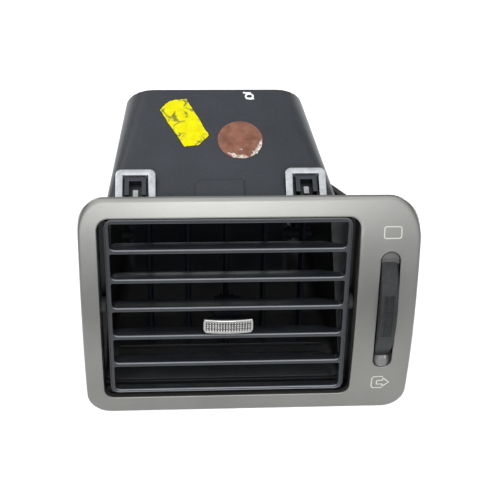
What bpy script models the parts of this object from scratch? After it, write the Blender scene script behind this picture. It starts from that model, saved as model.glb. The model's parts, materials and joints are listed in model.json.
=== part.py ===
"""Car dashboard air vent with a tilting grille, steering vanes, a thumbwheel and dampers.

Metres, +Z up, front -Y. The face leans back. Pieces that belong to it are drawn in the face frame, whose
origin is the bezel's bottom edge: x runs to the right, y is the depth behind the face and z runs up along
the face. Side views are drawn in the YZ plane and extruded along X.
"""

import math

import bmesh
import bpy
from mathutils import Matrix

# Overall size
BEZEL_WIDTH = 0.150
FACE_HEIGHT = 0.1113  # along the leaning face
FACE_LEAN = math.radians(32.6)  # from upright
FACE_BULGE = 0.0067
TOTAL_DEPTH = 0.1215

# Bezel
BEZEL_WALL = 0.0024
SKIRT_WALL = 0.0018
SKIRT_DEPTH = 0.0026
BEZEL_CORNER = 0.011
EDGE_ROUND = 0.0012
BORDER_LEFT = 0.0082
BORDER_RIGHT = 0.0271
BORDER_LOW = 0.0097
BORDER_HIGH = 0.0086
OPENING_CORNER = 0.005
LIP_WALL = 0.0016
LIP_DEPTH = 0.0011

# Housing and duct
WALL = 0.0020
DUCT_TOP_DROP = 0.0040  # below the bezel's top edge
DUCT_INSET_LEFT = 0.0041  # at its front, from the bezel's opening
DUCT_INSET_RIGHT = 0.0092
DUCT_LEFT_TAPER = 0.130  # sideways per length
DUCT_RIGHT_TAPER = 0.190
FLOOR_START = 0.0008
FLOOR_SLOPE = 0.0987
DUCT_ROUND_FRONT = 0.004
DUCT_ROUND_REAR = 0.013
BOX_DEPTH = 0.0128
BOX_FRONT = LIP_DEPTH + 0.00035
MOUTH_RADIUS_STEPS = 6
AXLE_BOSS = 0.0034  # how far it stands out from the duct's side
PAD_THICK = 0.0016
STUD_RADIUS = 0.0013
STUD_PLACES = (-0.0363, 0.0055)
RIB_LENGTH = 0.020
RIB_THICK = 0.003
RIB_INSET = 0.016
RIB_FROM_REAR = 0.004

# Grille
SLAT_COUNT = 5
GRILLE_GAP_SIDE = 0.0026
GRILLE_GAP_ENDS = 0.0012
RING_SIDE = 0.0023
RING_TOP = 0.00215
RING_BOTTOM = 0.0017
RING_DEPTH = 0.004
SLAT_THICK = 0.0020
SLAT_DEPTH = 0.009
SLAT_TAPER_LEFT = 0.003  # how much shorter a slat's rear edge is, clear of the duct when tilted
SLAT_TAPER_RIGHT = 0.0096
PIN_HEAD = 0.0035
PIVOT_DEPTH = 0.0055
PIVOT_PIN = 0.0020
EAR_RADIUS = 0.0040

# Knob
KNOB_WIDTH = 0.023
KNOB_HEIGHT = 0.0073
KNOB_THICK = 0.0032
KNOB_STAND_OFF = 0.0008
CARRIER_WIDTH = 0.012
CARRIER_HOOK = 0.0018
FORK_WIDE = 0.007
FORK_END = 0.020

# Vanes
VANE_COUNT = 5
VANE_PITCH = 0.0178
VANE_THICK = 0.0014
VANE_FRONT = 0.020  # depths behind the face
VANE_REAR = 0.034
VANE_AXIS = 0.028
VANE_LEVER = 0.012
VANE_SPINE = 0.0013
FORK_BAR = 0.0012
RAIL_THICK = 0.0019
RAIL_DROP = 0.0027  # from the duct's ceiling, clear of its rounded corners
RAIL_HALF = 0.008
RAIL_TRIM_LOW = 0.0045  # from the duct's side walls
RAIL_TRIM_HIGH = 0.0027
TIE_HEIGHT = 0.069  # up the face
TIE_THICK = 0.002

# Thumbwheel
WHEEL_FROM_EDGE = 0.013
WHEEL_UP = 0.0565
WHEEL_RADIUS = 0.040
WHEEL_WIDTH = 0.0083
WHEEL_PROUD = 0.005
WHEEL_SECTOR = math.radians(59.5)
SLOT_WIDTH = 0.0095
SLOT_LENGTH = 0.0616
SLOT_FLOOR = 0.0036  # in front of the face plane
AXLE = 0.0025
AXLE_END_GAP = 0.0004  # from the duct's side to the bottom of the axle's blind bore
HUB = 0.007
CRANK = 0.010
CRANK_ANGLE = math.radians(100)
CRANK_PIN = 0.0020
LINK_THICK = 0.0022
LINK_HALF = 0.0038
LINK_FROM_BOSS = 0.0030
CRANK_THICK = 0.0028
COVER_BEHIND_AXLE = 0.0190
COVER_KNEE = 0.0105  # where its roof starts to fall, behind the axle
COVER_ROOF_FALL = 0.0038
COVER_REAR_TALL = 0.024
COVER_BRACE = 0.0034
COVER_BRACE_RUN = 0.0075
COVER_BRACE_TALL = 0.012

# Damper
DAMPER_ANGLE = math.radians(37.5)
DAMPER_CLOSED = math.radians(60)
DAMPER_HALF = 0.0205
DAMPER_THICK = 0.0024
DAMPER_TOP_GAP = 0.0032
DAMPER_SHAFT = 0.0026
DAMPER_ARM = 0.009
DAMPER_CORNER = 0.008  # clear of the duct's rounded corners
SEAL_THICK = 0.0012
SEAL_INSET = 0.0028
TIE_FROM_WALL = 0.0022
TIE_PIN = 0.0014
LUG_THICK = 0.0024
LUG_GAP = 0.0025  # from the tie's middle to the lug's

# Spring clips, on the duct's top
CLIP_LEG = 0.0031
CLIP_BAR = 0.0026
CLIP_SHEET = 0.0007
CLIP_LIFT = math.radians(11)
CLIP_CORNER = 0.0025
CLIP_LEFT_INSET = 0.0042  # from the duct's side at its front
CLIP_LEFT_WIDTH = 0.0173
CLIP_LEFT_BEHIND = (0.0022, 0.0160)  # its ends, behind the bezel's top edge
CLIP_RIGHT_INSET = 0.0055
CLIP_RIGHT_WIDTH = 0.0177
CLIP_RIGHT_BEHIND = (0.0034, 0.0164)
HOOK_HALF = 0.0046
HOOK_WALL = 0.0019
HOOK_TALL = 0.003

# Clearances
CLEAR = 0.0003
RUN = 0.0006

SIDE_VIEW = (math.pi / 2, 0, math.pi / 2)  # an outline in YZ, its thickness along X
FRONT_VIEW = (math.pi / 2, 0, 0)  # an outline in XZ, its thickness along Y
ALONG_X = (0, math.pi / 2, 0)  # a cylinder's axis
TOP_Z = FACE_HEIGHT * math.cos(FACE_LEAN)
TOP_Y = FACE_HEIGHT * math.sin(FACE_LEAN)
FRONT_Y = -TOTAL_DEPTH / 2
OPENING_LEFT = BORDER_LEFT - BEZEL_WIDTH / 2
OPENING_RIGHT = BEZEL_WIDTH / 2 - BORDER_RIGHT
OPENING_HIGH = FACE_HEIGHT - BORDER_HIGH
DUCT_LEFT_FRONT = OPENING_LEFT + DUCT_INSET_LEFT
DUCT_RIGHT_FRONT = OPENING_RIGHT - DUCT_INSET_RIGHT
GRILLE_LEFT = OPENING_LEFT + GRILLE_GAP_SIDE
GRILLE_RIGHT = OPENING_RIGHT - GRILLE_GAP_SIDE
GRILLE_LOW = BORDER_LOW + GRILLE_GAP_ENDS
GRILLE_HIGH = OPENING_HIGH - GRILLE_GAP_ENDS
GRILLE_X = (GRILLE_LEFT + GRILLE_RIGHT) / 2
GRILLE_MID = (GRILLE_LOW + GRILLE_HIGH) / 2
SLAT_PITCH = (GRILLE_HIGH - RING_TOP + SLAT_THICK - GRILLE_LOW - RING_BOTTOM) / (SLAT_COUNT + 1)
KNOB_UP = GRILLE_LOW + RING_BOTTOM + 2.5 * SLAT_PITCH - SLAT_THICK / 2
WHEEL_X = BEZEL_WIDTH / 2 - WHEEL_FROM_EDGE
DUCT_TOP = TOP_Z - DUCT_TOP_DROP


def clear_scene():
    for old in list(bpy.data.objects):
        bpy.data.objects.remove(old, do_unlink=True)


def new_collection(name):
    group = bpy.data.collections.new(name)
    bpy.context.scene.collection.children.link(group)
    return group


def material(name, color, roughness, metallic=0.0):
    made = bpy.data.materials.new(name)
    made.use_nodes = True
    shader = made.node_tree.nodes["Principled BSDF"]
    shader.inputs["Base Color"].default_value = (*color, 1)
    shader.inputs["Roughness"].default_value = roughness
    shader.inputs["Metallic"].default_value = metallic
    made.diffuse_color = (*color, 1)
    return made


def side_point(depth, up):
    """The (Y, Z) of a place given by its depth behind the face and its height up the face."""
    y = FRONT_Y + up * math.sin(FACE_LEAN) + depth * math.cos(FACE_LEAN)
    z = up * math.cos(FACE_LEAN) - depth * math.sin(FACE_LEAN)
    return y, z


def depth_line(depth, z):
    """The Y of the plane that lies this far behind the face, at height Z."""
    return FRONT_Y + z * math.tan(FACE_LEAN) + depth / math.cos(FACE_LEAN)


def up_at(depth, z):
    """The height up the face of a place at this depth and this Z."""
    return (z + depth * math.sin(FACE_LEAN)) / math.cos(FACE_LEAN)


def bulge(up):
    """How far the bezel's curved face stands in front of the face plane."""
    radius = (FACE_HEIGHT**2 / 4 + FACE_BULGE**2) / (2 * FACE_BULGE)
    return math.sqrt(radius**2 - (up - FACE_HEIGHT / 2) ** 2) - radius + FACE_BULGE


def wall_left(y):
    return DUCT_LEFT_FRONT + DUCT_LEFT_TAPER * (y - FRONT_Y - TOP_Y - DUCT_TOP_DROP)


def wall_right(y):
    return DUCT_RIGHT_FRONT - DUCT_RIGHT_TAPER * (y - FRONT_Y - TOP_Y)


def floor_z(y):
    return FLOOR_START + FLOOR_SLOPE * max(0.0, y - FRONT_Y - 0.008)


def put(name, mesh, paint=None, at=(0, 0, 0), turn=(0, 0, 0), parent=None, cutter=False):
    """The object of a mesh, in the parts or among the cutters."""
    made = bpy.data.objects.new(name, mesh)
    made.location = at
    made.rotation_euler = turn
    made.parent = parent
    (cutters if cutter else parts).objects.link(made)
    if cutter:
        made.hide_render = True
        made.display_type = "WIRE"
    if paint:
        mesh.materials.clear()
        mesh.materials.append(paint)
    return made


def bm_mesh(name, bm):
    mesh = bpy.data.meshes.new(name)
    bm.to_mesh(mesh)
    bm.free()
    return mesh


def box_mesh(name, x, y, z):
    """A box between the two ends of each axis."""
    bm = bmesh.new()
    sizes = [high - low for low, high in (x, y, z)]
    middle = [(high + low) / 2 for low, high in (x, y, z)]
    bmesh.ops.create_cube(bm, size=1, matrix=Matrix.LocRotScale(middle, None, sizes))
    return bm_mesh(name, bm)


def rod_mesh(name, radius, low, high, sides=24):
    """A cylinder about Z, from low to high."""
    bm = bmesh.new()
    bmesh.ops.create_cone(
        bm,
        cap_ends=True,
        segments=sides,
        radius1=radius,
        radius2=radius,
        depth=high - low,
        matrix=Matrix.Translation((0, 0, (low + high) / 2)),
    )
    mesh = bm_mesh(name, bm)
    mesh.shade_smooth()
    mesh.set_sharp_from_angle(angle=math.radians(40))
    return mesh


def flat_mesh(name, outline, thickness, holes=()):
    """A flat piece: a filled 2D curve, extruded, then made a mesh so that it can be cut."""
    curve = bpy.data.curves.new(name, "CURVE")
    curve.dimensions = "2D"
    curve.fill_mode = "BOTH"
    curve.extrude = thickness / 2
    for loop in (outline, *holes):
        spline = curve.splines.new("POLY")
        spline.points.add(len(loop) - 1)
        for point, (x, y) in zip(spline.points, loop):
            point.co = (x, y, 0, 1)
        spline.use_cyclic_u = True
    drawn = bpy.data.objects.new(name, curve)
    parts.objects.link(drawn)
    bpy.context.view_layer.update()
    graph = bpy.context.evaluated_depsgraph_get()
    mesh = bpy.data.meshes.new_from_object(drawn.evaluated_get(graph))
    bpy.data.objects.remove(drawn)
    bm = bmesh.new()
    bm.from_mesh(mesh)
    bmesh.ops.remove_doubles(bm, verts=bm.verts, dist=1e-6)
    bmesh.ops.recalc_face_normals(bm, faces=bm.faces)
    bm.to_mesh(mesh)
    bm.free()
    return mesh


def loft_mesh(name, loops):
    """A solid skinned over loops of equally many points, closed at both ends."""
    bm = bmesh.new()
    rings = [[bm.verts.new(point) for point in loop] for loop in loops]
    count = len(rings[0])
    for ring, following in zip(rings, rings[1:]):
        for i in range(count):
            bm.faces.new((ring[i], ring[(i + 1) % count], following[(i + 1) % count], following[i]))
    bm.faces.new(rings[0])
    bm.faces.new(rings[-1])
    bmesh.ops.recalc_face_normals(bm, faces=bm.faces)
    return bm_mesh(name, bm)


def arc(x, y, radius, start, end, steps):
    """Points along an arc, its two ends among them."""
    turns = [start + (end - start) * i / steps for i in range(steps + 1)]
    return [(x + radius * math.cos(a), y + radius * math.sin(a)) for a in turns]


def round_rect(x0, x1, y0, y1, radii, steps=4):
    """A rectangle's outline. The radii go round from the right top corner by the left top one."""
    quarter = math.pi / 2
    places = (
        (x1, y1, -1, -1, 0),
        (x0, y1, 1, -1, 1),
        (x0, y0, 1, 1, 2),
        (x1, y0, -1, 1, 3),
    )
    points = []
    for (x, y, towards_x, towards_y, corner), radius in zip(places, radii):
        middle = (x + towards_x * radius, y + towards_y * radius)
        points += arc(*middle, radius, corner * quarter, (corner + 1) * quarter, steps)
    return points


def boolean(target, operation, other):
    step = target.modifiers.new(f"{operation} {other.name}", "BOOLEAN")
    step.operation = operation
    step.object = other


def cut(target, name, mesh, at=(0, 0, 0), turn=(0, 0, 0), parent=None):
    boolean(target, "DIFFERENCE", put(name, mesh, None, at, turn, parent, cutter=True))


def join(target, name, mesh, at=(0, 0, 0), turn=(0, 0, 0), parent=None):
    boolean(target, "UNION", put(name, mesh, None, at, turn, parent, cutter=True))


def empty(name, at=(0, 0, 0), turn=(0, 0, 0), parent=None):
    made = bpy.data.objects.new(name, None)
    made.location = at
    made.rotation_euler = turn
    made.parent = parent
    parts.objects.link(made)
    return made


# Bezel


def face_slab(name, inset, back, overhang=0.008):
    """The side view of a slab whose front is the curved face, set in by inset, and whose back is flat."""
    steps = 20
    ups = [-overhang + (FACE_HEIGHT + 2 * overhang) * i / steps for i in range(steps + 1)]
    front = [(inset - bulge(up), up) for up in ups]
    rear = [(back, ups[-1]), (back, ups[0])]
    return flat_mesh(name, front + rear, 2 * BEZEL_WIDTH)


def bezel_outline(inset):
    corner = BEZEL_CORNER - inset
    half = BEZEL_WIDTH / 2 - inset
    return round_rect(-half, half, inset, TOP_Z - inset, (corner,) * 4, steps=8)


def opening_outline(grow):
    corner = OPENING_CORNER + grow
    low = BORDER_LOW - grow
    high = OPENING_HIGH + grow
    return round_rect(OPENING_LEFT - grow, OPENING_RIGHT + grow, low, high, (corner,) * 4, steps=5)


def make_bezel():
    deep = 2 * TOTAL_DEPTH
    bezel = put("bezel", face_slab("bezel", 0, SKIRT_DEPTH), silver, turn=SIDE_VIEW, parent=face)
    edge = put("bezel_edge", flat_mesh("bezel_edge", bezel_outline(0), deep), turn=FRONT_VIEW, cutter=True)
    boolean(bezel, "INTERSECT", edge)
    rounded = bezel.modifiers.new("front edge", "BEVEL")
    rounded.width = EDGE_ROUND
    rounded.segments = 3
    rounded.limit_method = "ANGLE"
    rounded.angle_limit = math.radians(50)
    slab = face_slab("bezel_pocket", BEZEL_WALL, 3 * SKIRT_DEPTH)
    pocket = put("bezel_pocket", slab, turn=SIDE_VIEW, parent=face, cutter=True)
    inner_edge = flat_mesh("pocket_edge", bezel_outline(SKIRT_WALL), deep)
    boolean(pocket, "INTERSECT", put("pocket_edge", inner_edge, turn=FRONT_VIEW, cutter=True))
    lip_thick = 0.04
    cut(pocket, "bezel_lip", flat_mesh("bezel_lip", opening_outline(LIP_WALL), lip_thick),
        at=(0, LIP_DEPTH - lip_thick / 2, 0), turn=FRONT_VIEW, parent=face)
    boolean(bezel, "DIFFERENCE", pocket)
    cut(bezel, "bezel_opening", flat_mesh("bezel_opening", opening_outline(0), lip_thick),
        turn=FRONT_VIEW, parent=face)
    half = SLOT_WIDTH / 2
    low = WHEEL_UP - SLOT_LENGTH / 2
    corners = (half - CLEAR / 10,) * 4
    slot = round_rect(WHEEL_X - half, WHEEL_X + half, low, low + SLOT_LENGTH, corners, steps=5)
    cut(bezel, "slot_recess", flat_mesh("slot_recess", slot, lip_thick),
        at=(0, -SLOT_FLOOR - lip_thick / 2, 0), turn=FRONT_VIEW, parent=face)
    hole = rod_mesh("slot_hole", WHEEL_RADIUS + RUN, -half + CLEAR / 5, half - CLEAR / 5, 96)
    cut(bezel, "slot_hole", hole, at=(WHEEL_X, *wheel_axis), turn=ALONG_X)


# Housing


def duct_loop(inset, radius, y_of):
    """A rounded loop of the duct, at the Y that y_of gives for each height."""
    middle = (wall_left(0) + wall_right(0)) / 2
    low = floor_z(y_of(0)) + inset
    steps = MOUTH_RADIUS_STEPS
    left = wall_left(0) + inset
    right = wall_right(0) - inset
    flat = round_rect(left, right, low, DUCT_TOP - inset, (radius,) * 4, steps)
    loop = []
    for x, z in flat:
        y = y_of(z)
        wall = wall_left if x < middle else wall_right
        loop.append((x + wall(y) - wall(0), y, z))
    return loop


def box_side(inset, front):
    """The side view of the box behind the bezel, cut off level above the floor that the part stands on."""
    low = BORDER_LOW - CLEAR / 2 - WALL + inset
    high = OPENING_HIGH + CLEAR / 2 + WALL - inset
    back = BOX_DEPTH - inset
    floor = 0.0006 + inset
    points = [side_point(front, low), side_point(front, high), side_point(back, high)]
    turn_up = up_at(back, floor)
    if turn_up > low:
        floor_depth = (low * math.cos(FACE_LEAN) - floor) / math.sin(FACE_LEAN)
        points += [side_point(back, turn_up), side_point(floor_depth, low)]
    else:
        points.append(side_point(back, low))
    return points


def box_span(inset):
    return OPENING_LEFT - CLEAR / 2 - WALL + inset, OPENING_RIGHT + CLEAR / 2 + WALL - inset


def box_prism(name, inset, front):
    left, right = box_span(inset)
    return flat_mesh(name, box_side(inset, front), right - left), ((left + right) / 2, 0, 0)


def make_housing():
    rear = FRONT_Y + TOTAL_DEPTH
    start = 0.0055

    def sections(inset, front_depth, end):
        return [
            duct_loop(inset, DUCT_ROUND_FRONT - inset / 2, lambda z: depth_line(front_depth, z)),
            duct_loop(inset, DUCT_ROUND_REAR - inset / 2, lambda z: end),
        ]

    housing = put("duct_housing", loft_mesh("duct_housing", sections(0, start, rear)), duct_black)
    mesh, middle = box_prism("box_outer", 0, BOX_FRONT)
    join(housing, "box_outer", mesh, at=middle, turn=SIDE_VIEW)
    side_wall = wall_right(wheel_axis[0])
    boss = rod_mesh("axle_boss", 2 * AXLE, side_wall - WALL / 2, side_wall + AXLE_BOSS)
    join(housing, "axle_boss", boss, at=(0, *wheel_axis), turn=ALONG_X)
    top_edge = FRONT_Y + TOP_Y
    pad = [(-0.0239, 0.0025), (-0.0028, 0.0025), (-0.0028, 0.0118), (-0.0215, 0.0118), (-0.0239, 0.0095)]
    pad = [(x, top_edge + y) for x, y in pad]
    join(housing, "top_pad", flat_mesh("top_pad", pad, PAD_THICK), at=(0, 0, DUCT_TOP))
    for number, x in enumerate(STUD_PLACES, start=1):
        stud = rod_mesh("stud", STUD_RADIUS, -WALL / 2, 0.0012, 12)
        join(housing, f"stud_{number}", stud, at=(x, top_edge + 0.0035, DUCT_TOP))
    inside = loft_mesh("duct_inside", sections(WALL, start - WALL, rear + WALL))
    cut(housing, "duct_inside", inside)
    mesh, middle = box_prism("box_inner", WALL, BOX_FRONT - 0.004)
    cut(housing, "box_inner", mesh, at=middle, turn=SIDE_VIEW)
    trunnion = rod_mesh("trunnion_bore", PIVOT_PIN + CLEAR, -BEZEL_WIDTH, BEZEL_WIDTH)
    cut(housing, "trunnion_bore", trunnion, at=(0, *grille_axis), turn=ALONG_X)
    for name, axis in (("lower", lower_axis), ("upper", upper_axis)):
        bore = rod_mesh("damper_bore", DAMPER_SHAFT + CLEAR, -BEZEL_WIDTH, BEZEL_WIDTH)
        cut(housing, f"damper_bore_{name}", bore, at=(0, *axis), turn=ALONG_X)
    bore = rod_mesh("axle_bore", AXLE + CLEAR, side_wall + AXLE_END_GAP, BEZEL_WIDTH)
    cut(housing, "axle_bore", bore, at=(0, *wheel_axis), turn=ALONG_X)


def make_rear_ribs():
    """Two locating ribs under the duct, on which its rear stands."""
    back = FRONT_Y + TOTAL_DEPTH - RIB_FROM_REAR
    front = back - RIB_LENGTH
    side = [(front, 0), (back, 0), (back, floor_z(back) - CLEAR), (front, floor_z(front) - CLEAR)]
    for name, x in (("left", wall_left(back) + RIB_INSET), ("right", wall_right(back) - RIB_INSET)):
        rib = flat_mesh("rear_rib", side, RIB_THICK)
        put(f"rear_rib_{name}", rib, duct_black, at=(x, 0, 0), turn=SIDE_VIEW)


# Grille


def make_grille():
    slots = []
    for k in range(SLAT_COUNT + 1):
        low = GRILLE_LOW + RING_BOTTOM + k * SLAT_PITCH - GRILLE_MID
        high = low + SLAT_PITCH - SLAT_THICK
        left = GRILLE_LEFT + RING_SIDE - GRILLE_X
        slots.append(round_rect(left, -left, low, high, (0.0008, 0.0008, 0.0022, 0.0022), steps=3))
    half = (GRILLE_RIGHT - GRILLE_LEFT) / 2
    outer = round_rect(-half, half, GRILLE_LOW - GRILLE_MID, GRILLE_HIGH - GRILLE_MID, (0.004,) * 4, steps=4)
    ring = flat_mesh("grille", outer, RING_DEPTH, slots)
    for vertex in ring.vertices:
        vertex.co.z += PIVOT_DEPTH - RING_DEPTH / 2
    grille = put("grille", ring, grille_black, turn=FRONT_VIEW, parent=tilt)
    for k in range(1, SLAT_COUNT + 1):
        top = GRILLE_LOW + RING_BOTTOM + k * SLAT_PITCH - GRILLE_MID
        join(grille, f"slat_{k}", slat_mesh(top, half - RING_SIDE / 2), parent=tilt)
    for side in (-1, 1):
        ear = arc(0, 0, EAR_RADIUS, -math.pi / 2, math.pi / 2, 10)
        ear += [(CLEAR - PIVOT_DEPTH, EAR_RADIUS), (CLEAR - PIVOT_DEPTH, -EAR_RADIUS)]
        ear = flat_mesh("ear", ear, RING_SIDE - CLEAR)
        ear_x = side * (half - RING_SIDE / 2)
        join(grille, f"ear_{side}", ear, at=(ear_x, 0, 0), turn=SIDE_VIEW, parent=tilt)
    for side in (-1, 1):
        bore = rod_mesh("ear_bore", PIVOT_PIN + CLEAR, half - RING_SIDE - CLEAR, BEZEL_WIDTH)
        cut(grille, f"ear_bore_{side}", bore, turn=(0, side * math.pi / 2, 0), parent=tilt)


def slat_mesh(top, half):
    """A slat that thins toward the rear, its ends drawn in there."""
    thin = 0.0003
    low = top - SLAT_THICK
    front = RING_DEPTH - PIVOT_DEPTH - 0.0005
    middle = RING_DEPTH - PIVOT_DEPTH + CLEAR
    rear = SLAT_DEPTH - PIVOT_DEPTH
    loops = []
    for depth, left, right, share in (
        (front, -half, half, 0),
        (middle, -half, half, 0.2),
        (rear, SLAT_TAPER_LEFT - half, half - SLAT_TAPER_RIGHT, 1),
    ):
        upper = top - thin * (1 + share) / 2
        under = low + thin * (1 + 3 * share) / 2
        corners = ((left, under), (right, under), (right, upper), (left, upper))
        loops.append([(x, depth, z) for x, z in corners])
    return loft_mesh("slat", loops)


def make_grille_pivots():
    """On each side a headed pin through the box's wall into the grille's ear, in a friction bush."""
    left, right = box_span(0)
    half = (GRILLE_RIGHT - GRILLE_LEFT) / 2
    for name, side, outer in (("left", -1, GRILLE_X - left), ("right", 1, right - GRILLE_X)):
        turn = (0, side * math.pi / 2, 0)
        place = empty(f"grille_pin_place_{name}", at=(GRILLE_X, *grille_axis), turn=turn)
        head_top = outer + 0.0014
        shank = rod_mesh("grille_pin", PIVOT_PIN, half - RING_SIDE, head_top)
        pin = put(f"grille_pin_{name}", shank, steel, parent=place)
        join(pin, f"pin_head_{name}", rod_mesh("pin_head", PIN_HEAD, outer + CLEAR, head_top), parent=place)
        low = half + CLEAR
        high = outer - WALL - CLEAR
        ring = rod_mesh("grille_bush", EAR_RADIUS - CLEAR, low, high)
        bush = put(f"grille_bush_{name}", ring, felt, parent=place)
        bore = rod_mesh("bush_bore", PIVOT_PIN + CLEAR, low - WALL, high + WALL)
        cut(bush, f"bush_bore_{name}", bore, parent=place)


# Knob


def make_knob():
    up = KNOB_UP - GRILLE_MID
    front = -PIVOT_DEPTH - KNOB_STAND_OFF - KNOB_THICK
    bow = 0.0012
    half = KNOB_WIDTH / 2
    face_line = [(half * t, front + bow * t * t) for t in (-1, -0.75, -0.5, -0.25, 0, 0.25, 0.5, 0.75, 1)]
    back = front + KNOB_THICK
    outline = face_line + [(half - 0.0006, back), (0.0006 - half, back)]
    cap = put("knob_cap", flat_mesh("knob_cap", outline, KNOB_HEIGHT), chrome, at=(0, 0, up), parent=tilt)
    rounded = cap.modifiers.new("edges", "BEVEL")
    rounded.width = 0.0006
    rounded.segments = 2
    rounded.angle_limit = math.radians(40)


def make_knob_carrier():
    """Slides between two slats, hooks behind them and ends in the fork that steers the middle vane."""
    room = SLAT_PITCH - SLAT_THICK
    up = KNOB_UP - GRILLE_MID
    half = CARRIER_WIDTH / 2
    rear = SLAT_DEPTH - PIVOT_DEPTH
    tall = room / 2 - CLEAR
    low_front = -PIVOT_DEPTH - KNOB_STAND_OFF + CLEAR
    body = box_mesh("knob_carrier", (-half, half), (0.0015 - PIVOT_DEPTH, rear + 0.001), (-tall, tall))
    carrier = put("knob_carrier", body, carrier_black, at=(0, 0, up), parent=tilt)
    neck_tall = KNOB_HEIGHT / 3
    neck = box_mesh("carrier_neck", (-half / 2, half / 2), (low_front, 0), (-neck_tall, neck_tall))
    join(carrier, "carrier_neck", neck, at=(0, 0, up), parent=tilt)
    reach = tall + CARRIER_HOOK
    hook = box_mesh("carrier_hook", (-half, half), (rear + CLEAR, rear + 0.002), (-reach, reach))
    join(carrier, "carrier_hook", hook, at=(0, 0, up), parent=tilt)
    gap = FORK_BAR + RUN
    prong = gap + CARRIER_HOOK
    end = FORK_END - PIVOT_DEPTH
    root = VANE_AXIS - VANE_LEVER - FORK_BAR - 0.002 - PIVOT_DEPTH
    start = rear + 0.001
    fork = [(-prong, start), (prong, start), (prong, end), (gap, end), (gap, root), (-gap, root), (-gap, end),
            (-prong, end)]
    join(carrier, "carrier_fork", flat_mesh("carrier_fork", fork, FORK_WIDE), at=(0, 0, up), parent=tilt)


# Vanes


def vane_outline():
    low = RAIL_Z_LOW + RAIL_THICK / 2 + 0.0011
    high = RAIL_Z_HIGH - RAIL_THICK / 2 - 0.0008
    corners = [(VANE_FRONT, low), (VANE_REAR, low), (VANE_REAR, high), (VANE_FRONT, high)]
    return [(depth - VANE_AXIS, up_at(depth, z)) for depth, z in corners]


def make_vane(number, x):
    outline = vane_outline()
    holes = []
    middle = number == (VANE_COUNT + 1) // 2
    if middle:
        reach = 0.0062
        nose = -VANE_LEVER - FORK_BAR / 2
        outline += [(VANE_FRONT - VANE_AXIS, KNOB_UP + reach + 0.004), (nose, KNOB_UP + reach + 0.002),
                    (nose, KNOB_UP - reach - 0.002), (VANE_FRONT - VANE_AXIS, KNOB_UP - reach - 0.004)]
        holes.append(round_rect(-VANE_LEVER + FORK_BAR / 2, -0.005, KNOB_UP - reach, KNOB_UP + reach,
                                (0.0006,) * 4, steps=1))
    pivot = empty(f"vane_pivot_{number}", at=(x, VANE_AXIS, 0), parent=face)
    blade = flat_mesh("vane", outline, VANE_THICK, holes)
    vane = put(f"vane_{number}", blade, vane_black, turn=SIDE_VIEW, parent=pivot)
    low = up_at(VANE_AXIS, RAIL_Z_LOW - RAIL_THICK / 2)
    high = up_at(VANE_AXIS, RAIL_Z_HIGH + RAIL_THICK / 2 - CLEAR)
    join(vane, f"spine_{number}", rod_mesh("spine", VANE_SPINE, low, high, 12), parent=pivot)
    if middle:
        join(vane, "fork_bar", rod_mesh("fork_bar", FORK_BAR, KNOB_UP - 0.0075, KNOB_UP + 0.0075, 12),
             at=(0, -VANE_LEVER, 0), parent=pivot)


def vane_places():
    return [GRILLE_X + VANE_PITCH * (k - (VANE_COUNT - 1) / 2) for k in range(VANE_COUNT)]


def make_vanes():
    for number, x in enumerate(vane_places(), start=1):
        make_vane(number, x)


def make_tie_bar():
    """A comb behind the vanes: each vane's rear edge stands in one of its slots."""
    pin_depth = VANE_REAR - 0.0009
    front = pin_depth - 0.0016
    back = VANE_REAR + 0.0022
    half_slot = 0.0014
    end = VANE_PITCH * (VANE_COUNT - 1) / 2 + 0.004
    outline = [(-end, back), (-end, front)]
    for x in vane_places():
        x -= GRILLE_X
        bottom = VANE_REAR + CLEAR
        outline += [(x - half_slot, front), (x - half_slot, bottom), (x + half_slot, bottom),
                    (x + half_slot, front)]
    outline += [(end, front), (end, back)]
    comb = flat_mesh("vane_tie_bar", outline, TIE_THICK)
    put("vane_tie_bar", comb, carrier_black, at=(GRILLE_X, 0, TIE_HEIGHT), parent=face)


def make_rails():
    """The upper and lower rails, level plates between the duct's walls, bored along the vanes' axes."""
    for name, z in (("lower", RAIL_Z_LOW), ("upper", RAIL_Z_HIGH)):
        y = depth_line(VANE_AXIS, z)
        front = y - RAIL_HALF
        back = y + RAIL_HALF
        trim = WALL + (RAIL_TRIM_HIGH if name == "upper" else RAIL_TRIM_LOW)
        outline = [(wall_left(front) + trim, front), (wall_right(front) - trim, front),
                   (wall_right(back) - trim, back), (wall_left(back) + trim, back)]
        rail = put(f"vane_rail_{name}", flat_mesh("vane_rail", outline, RAIL_THICK), duct_black, at=(0, 0, z))
        for number, x in enumerate(vane_places(), start=1):
            bore = rod_mesh("rail_bore", VANE_SPINE + CLEAR, 0, 2 * FACE_HEIGHT, 12)
            cut(rail, f"rail_bore_{name}_{number}", bore, at=(x, VANE_AXIS, 0), parent=face)


# Thumbwheel and linkage


def sector(inner, outer, half_angle, middle_angle):
    steps = 28
    rim = arc(0, 0, outer, middle_angle - half_angle, middle_angle + half_angle, steps)
    if inner:
        rim += arc(0, 0, inner, middle_angle + half_angle, middle_angle - half_angle, steps)
    return rim


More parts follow.
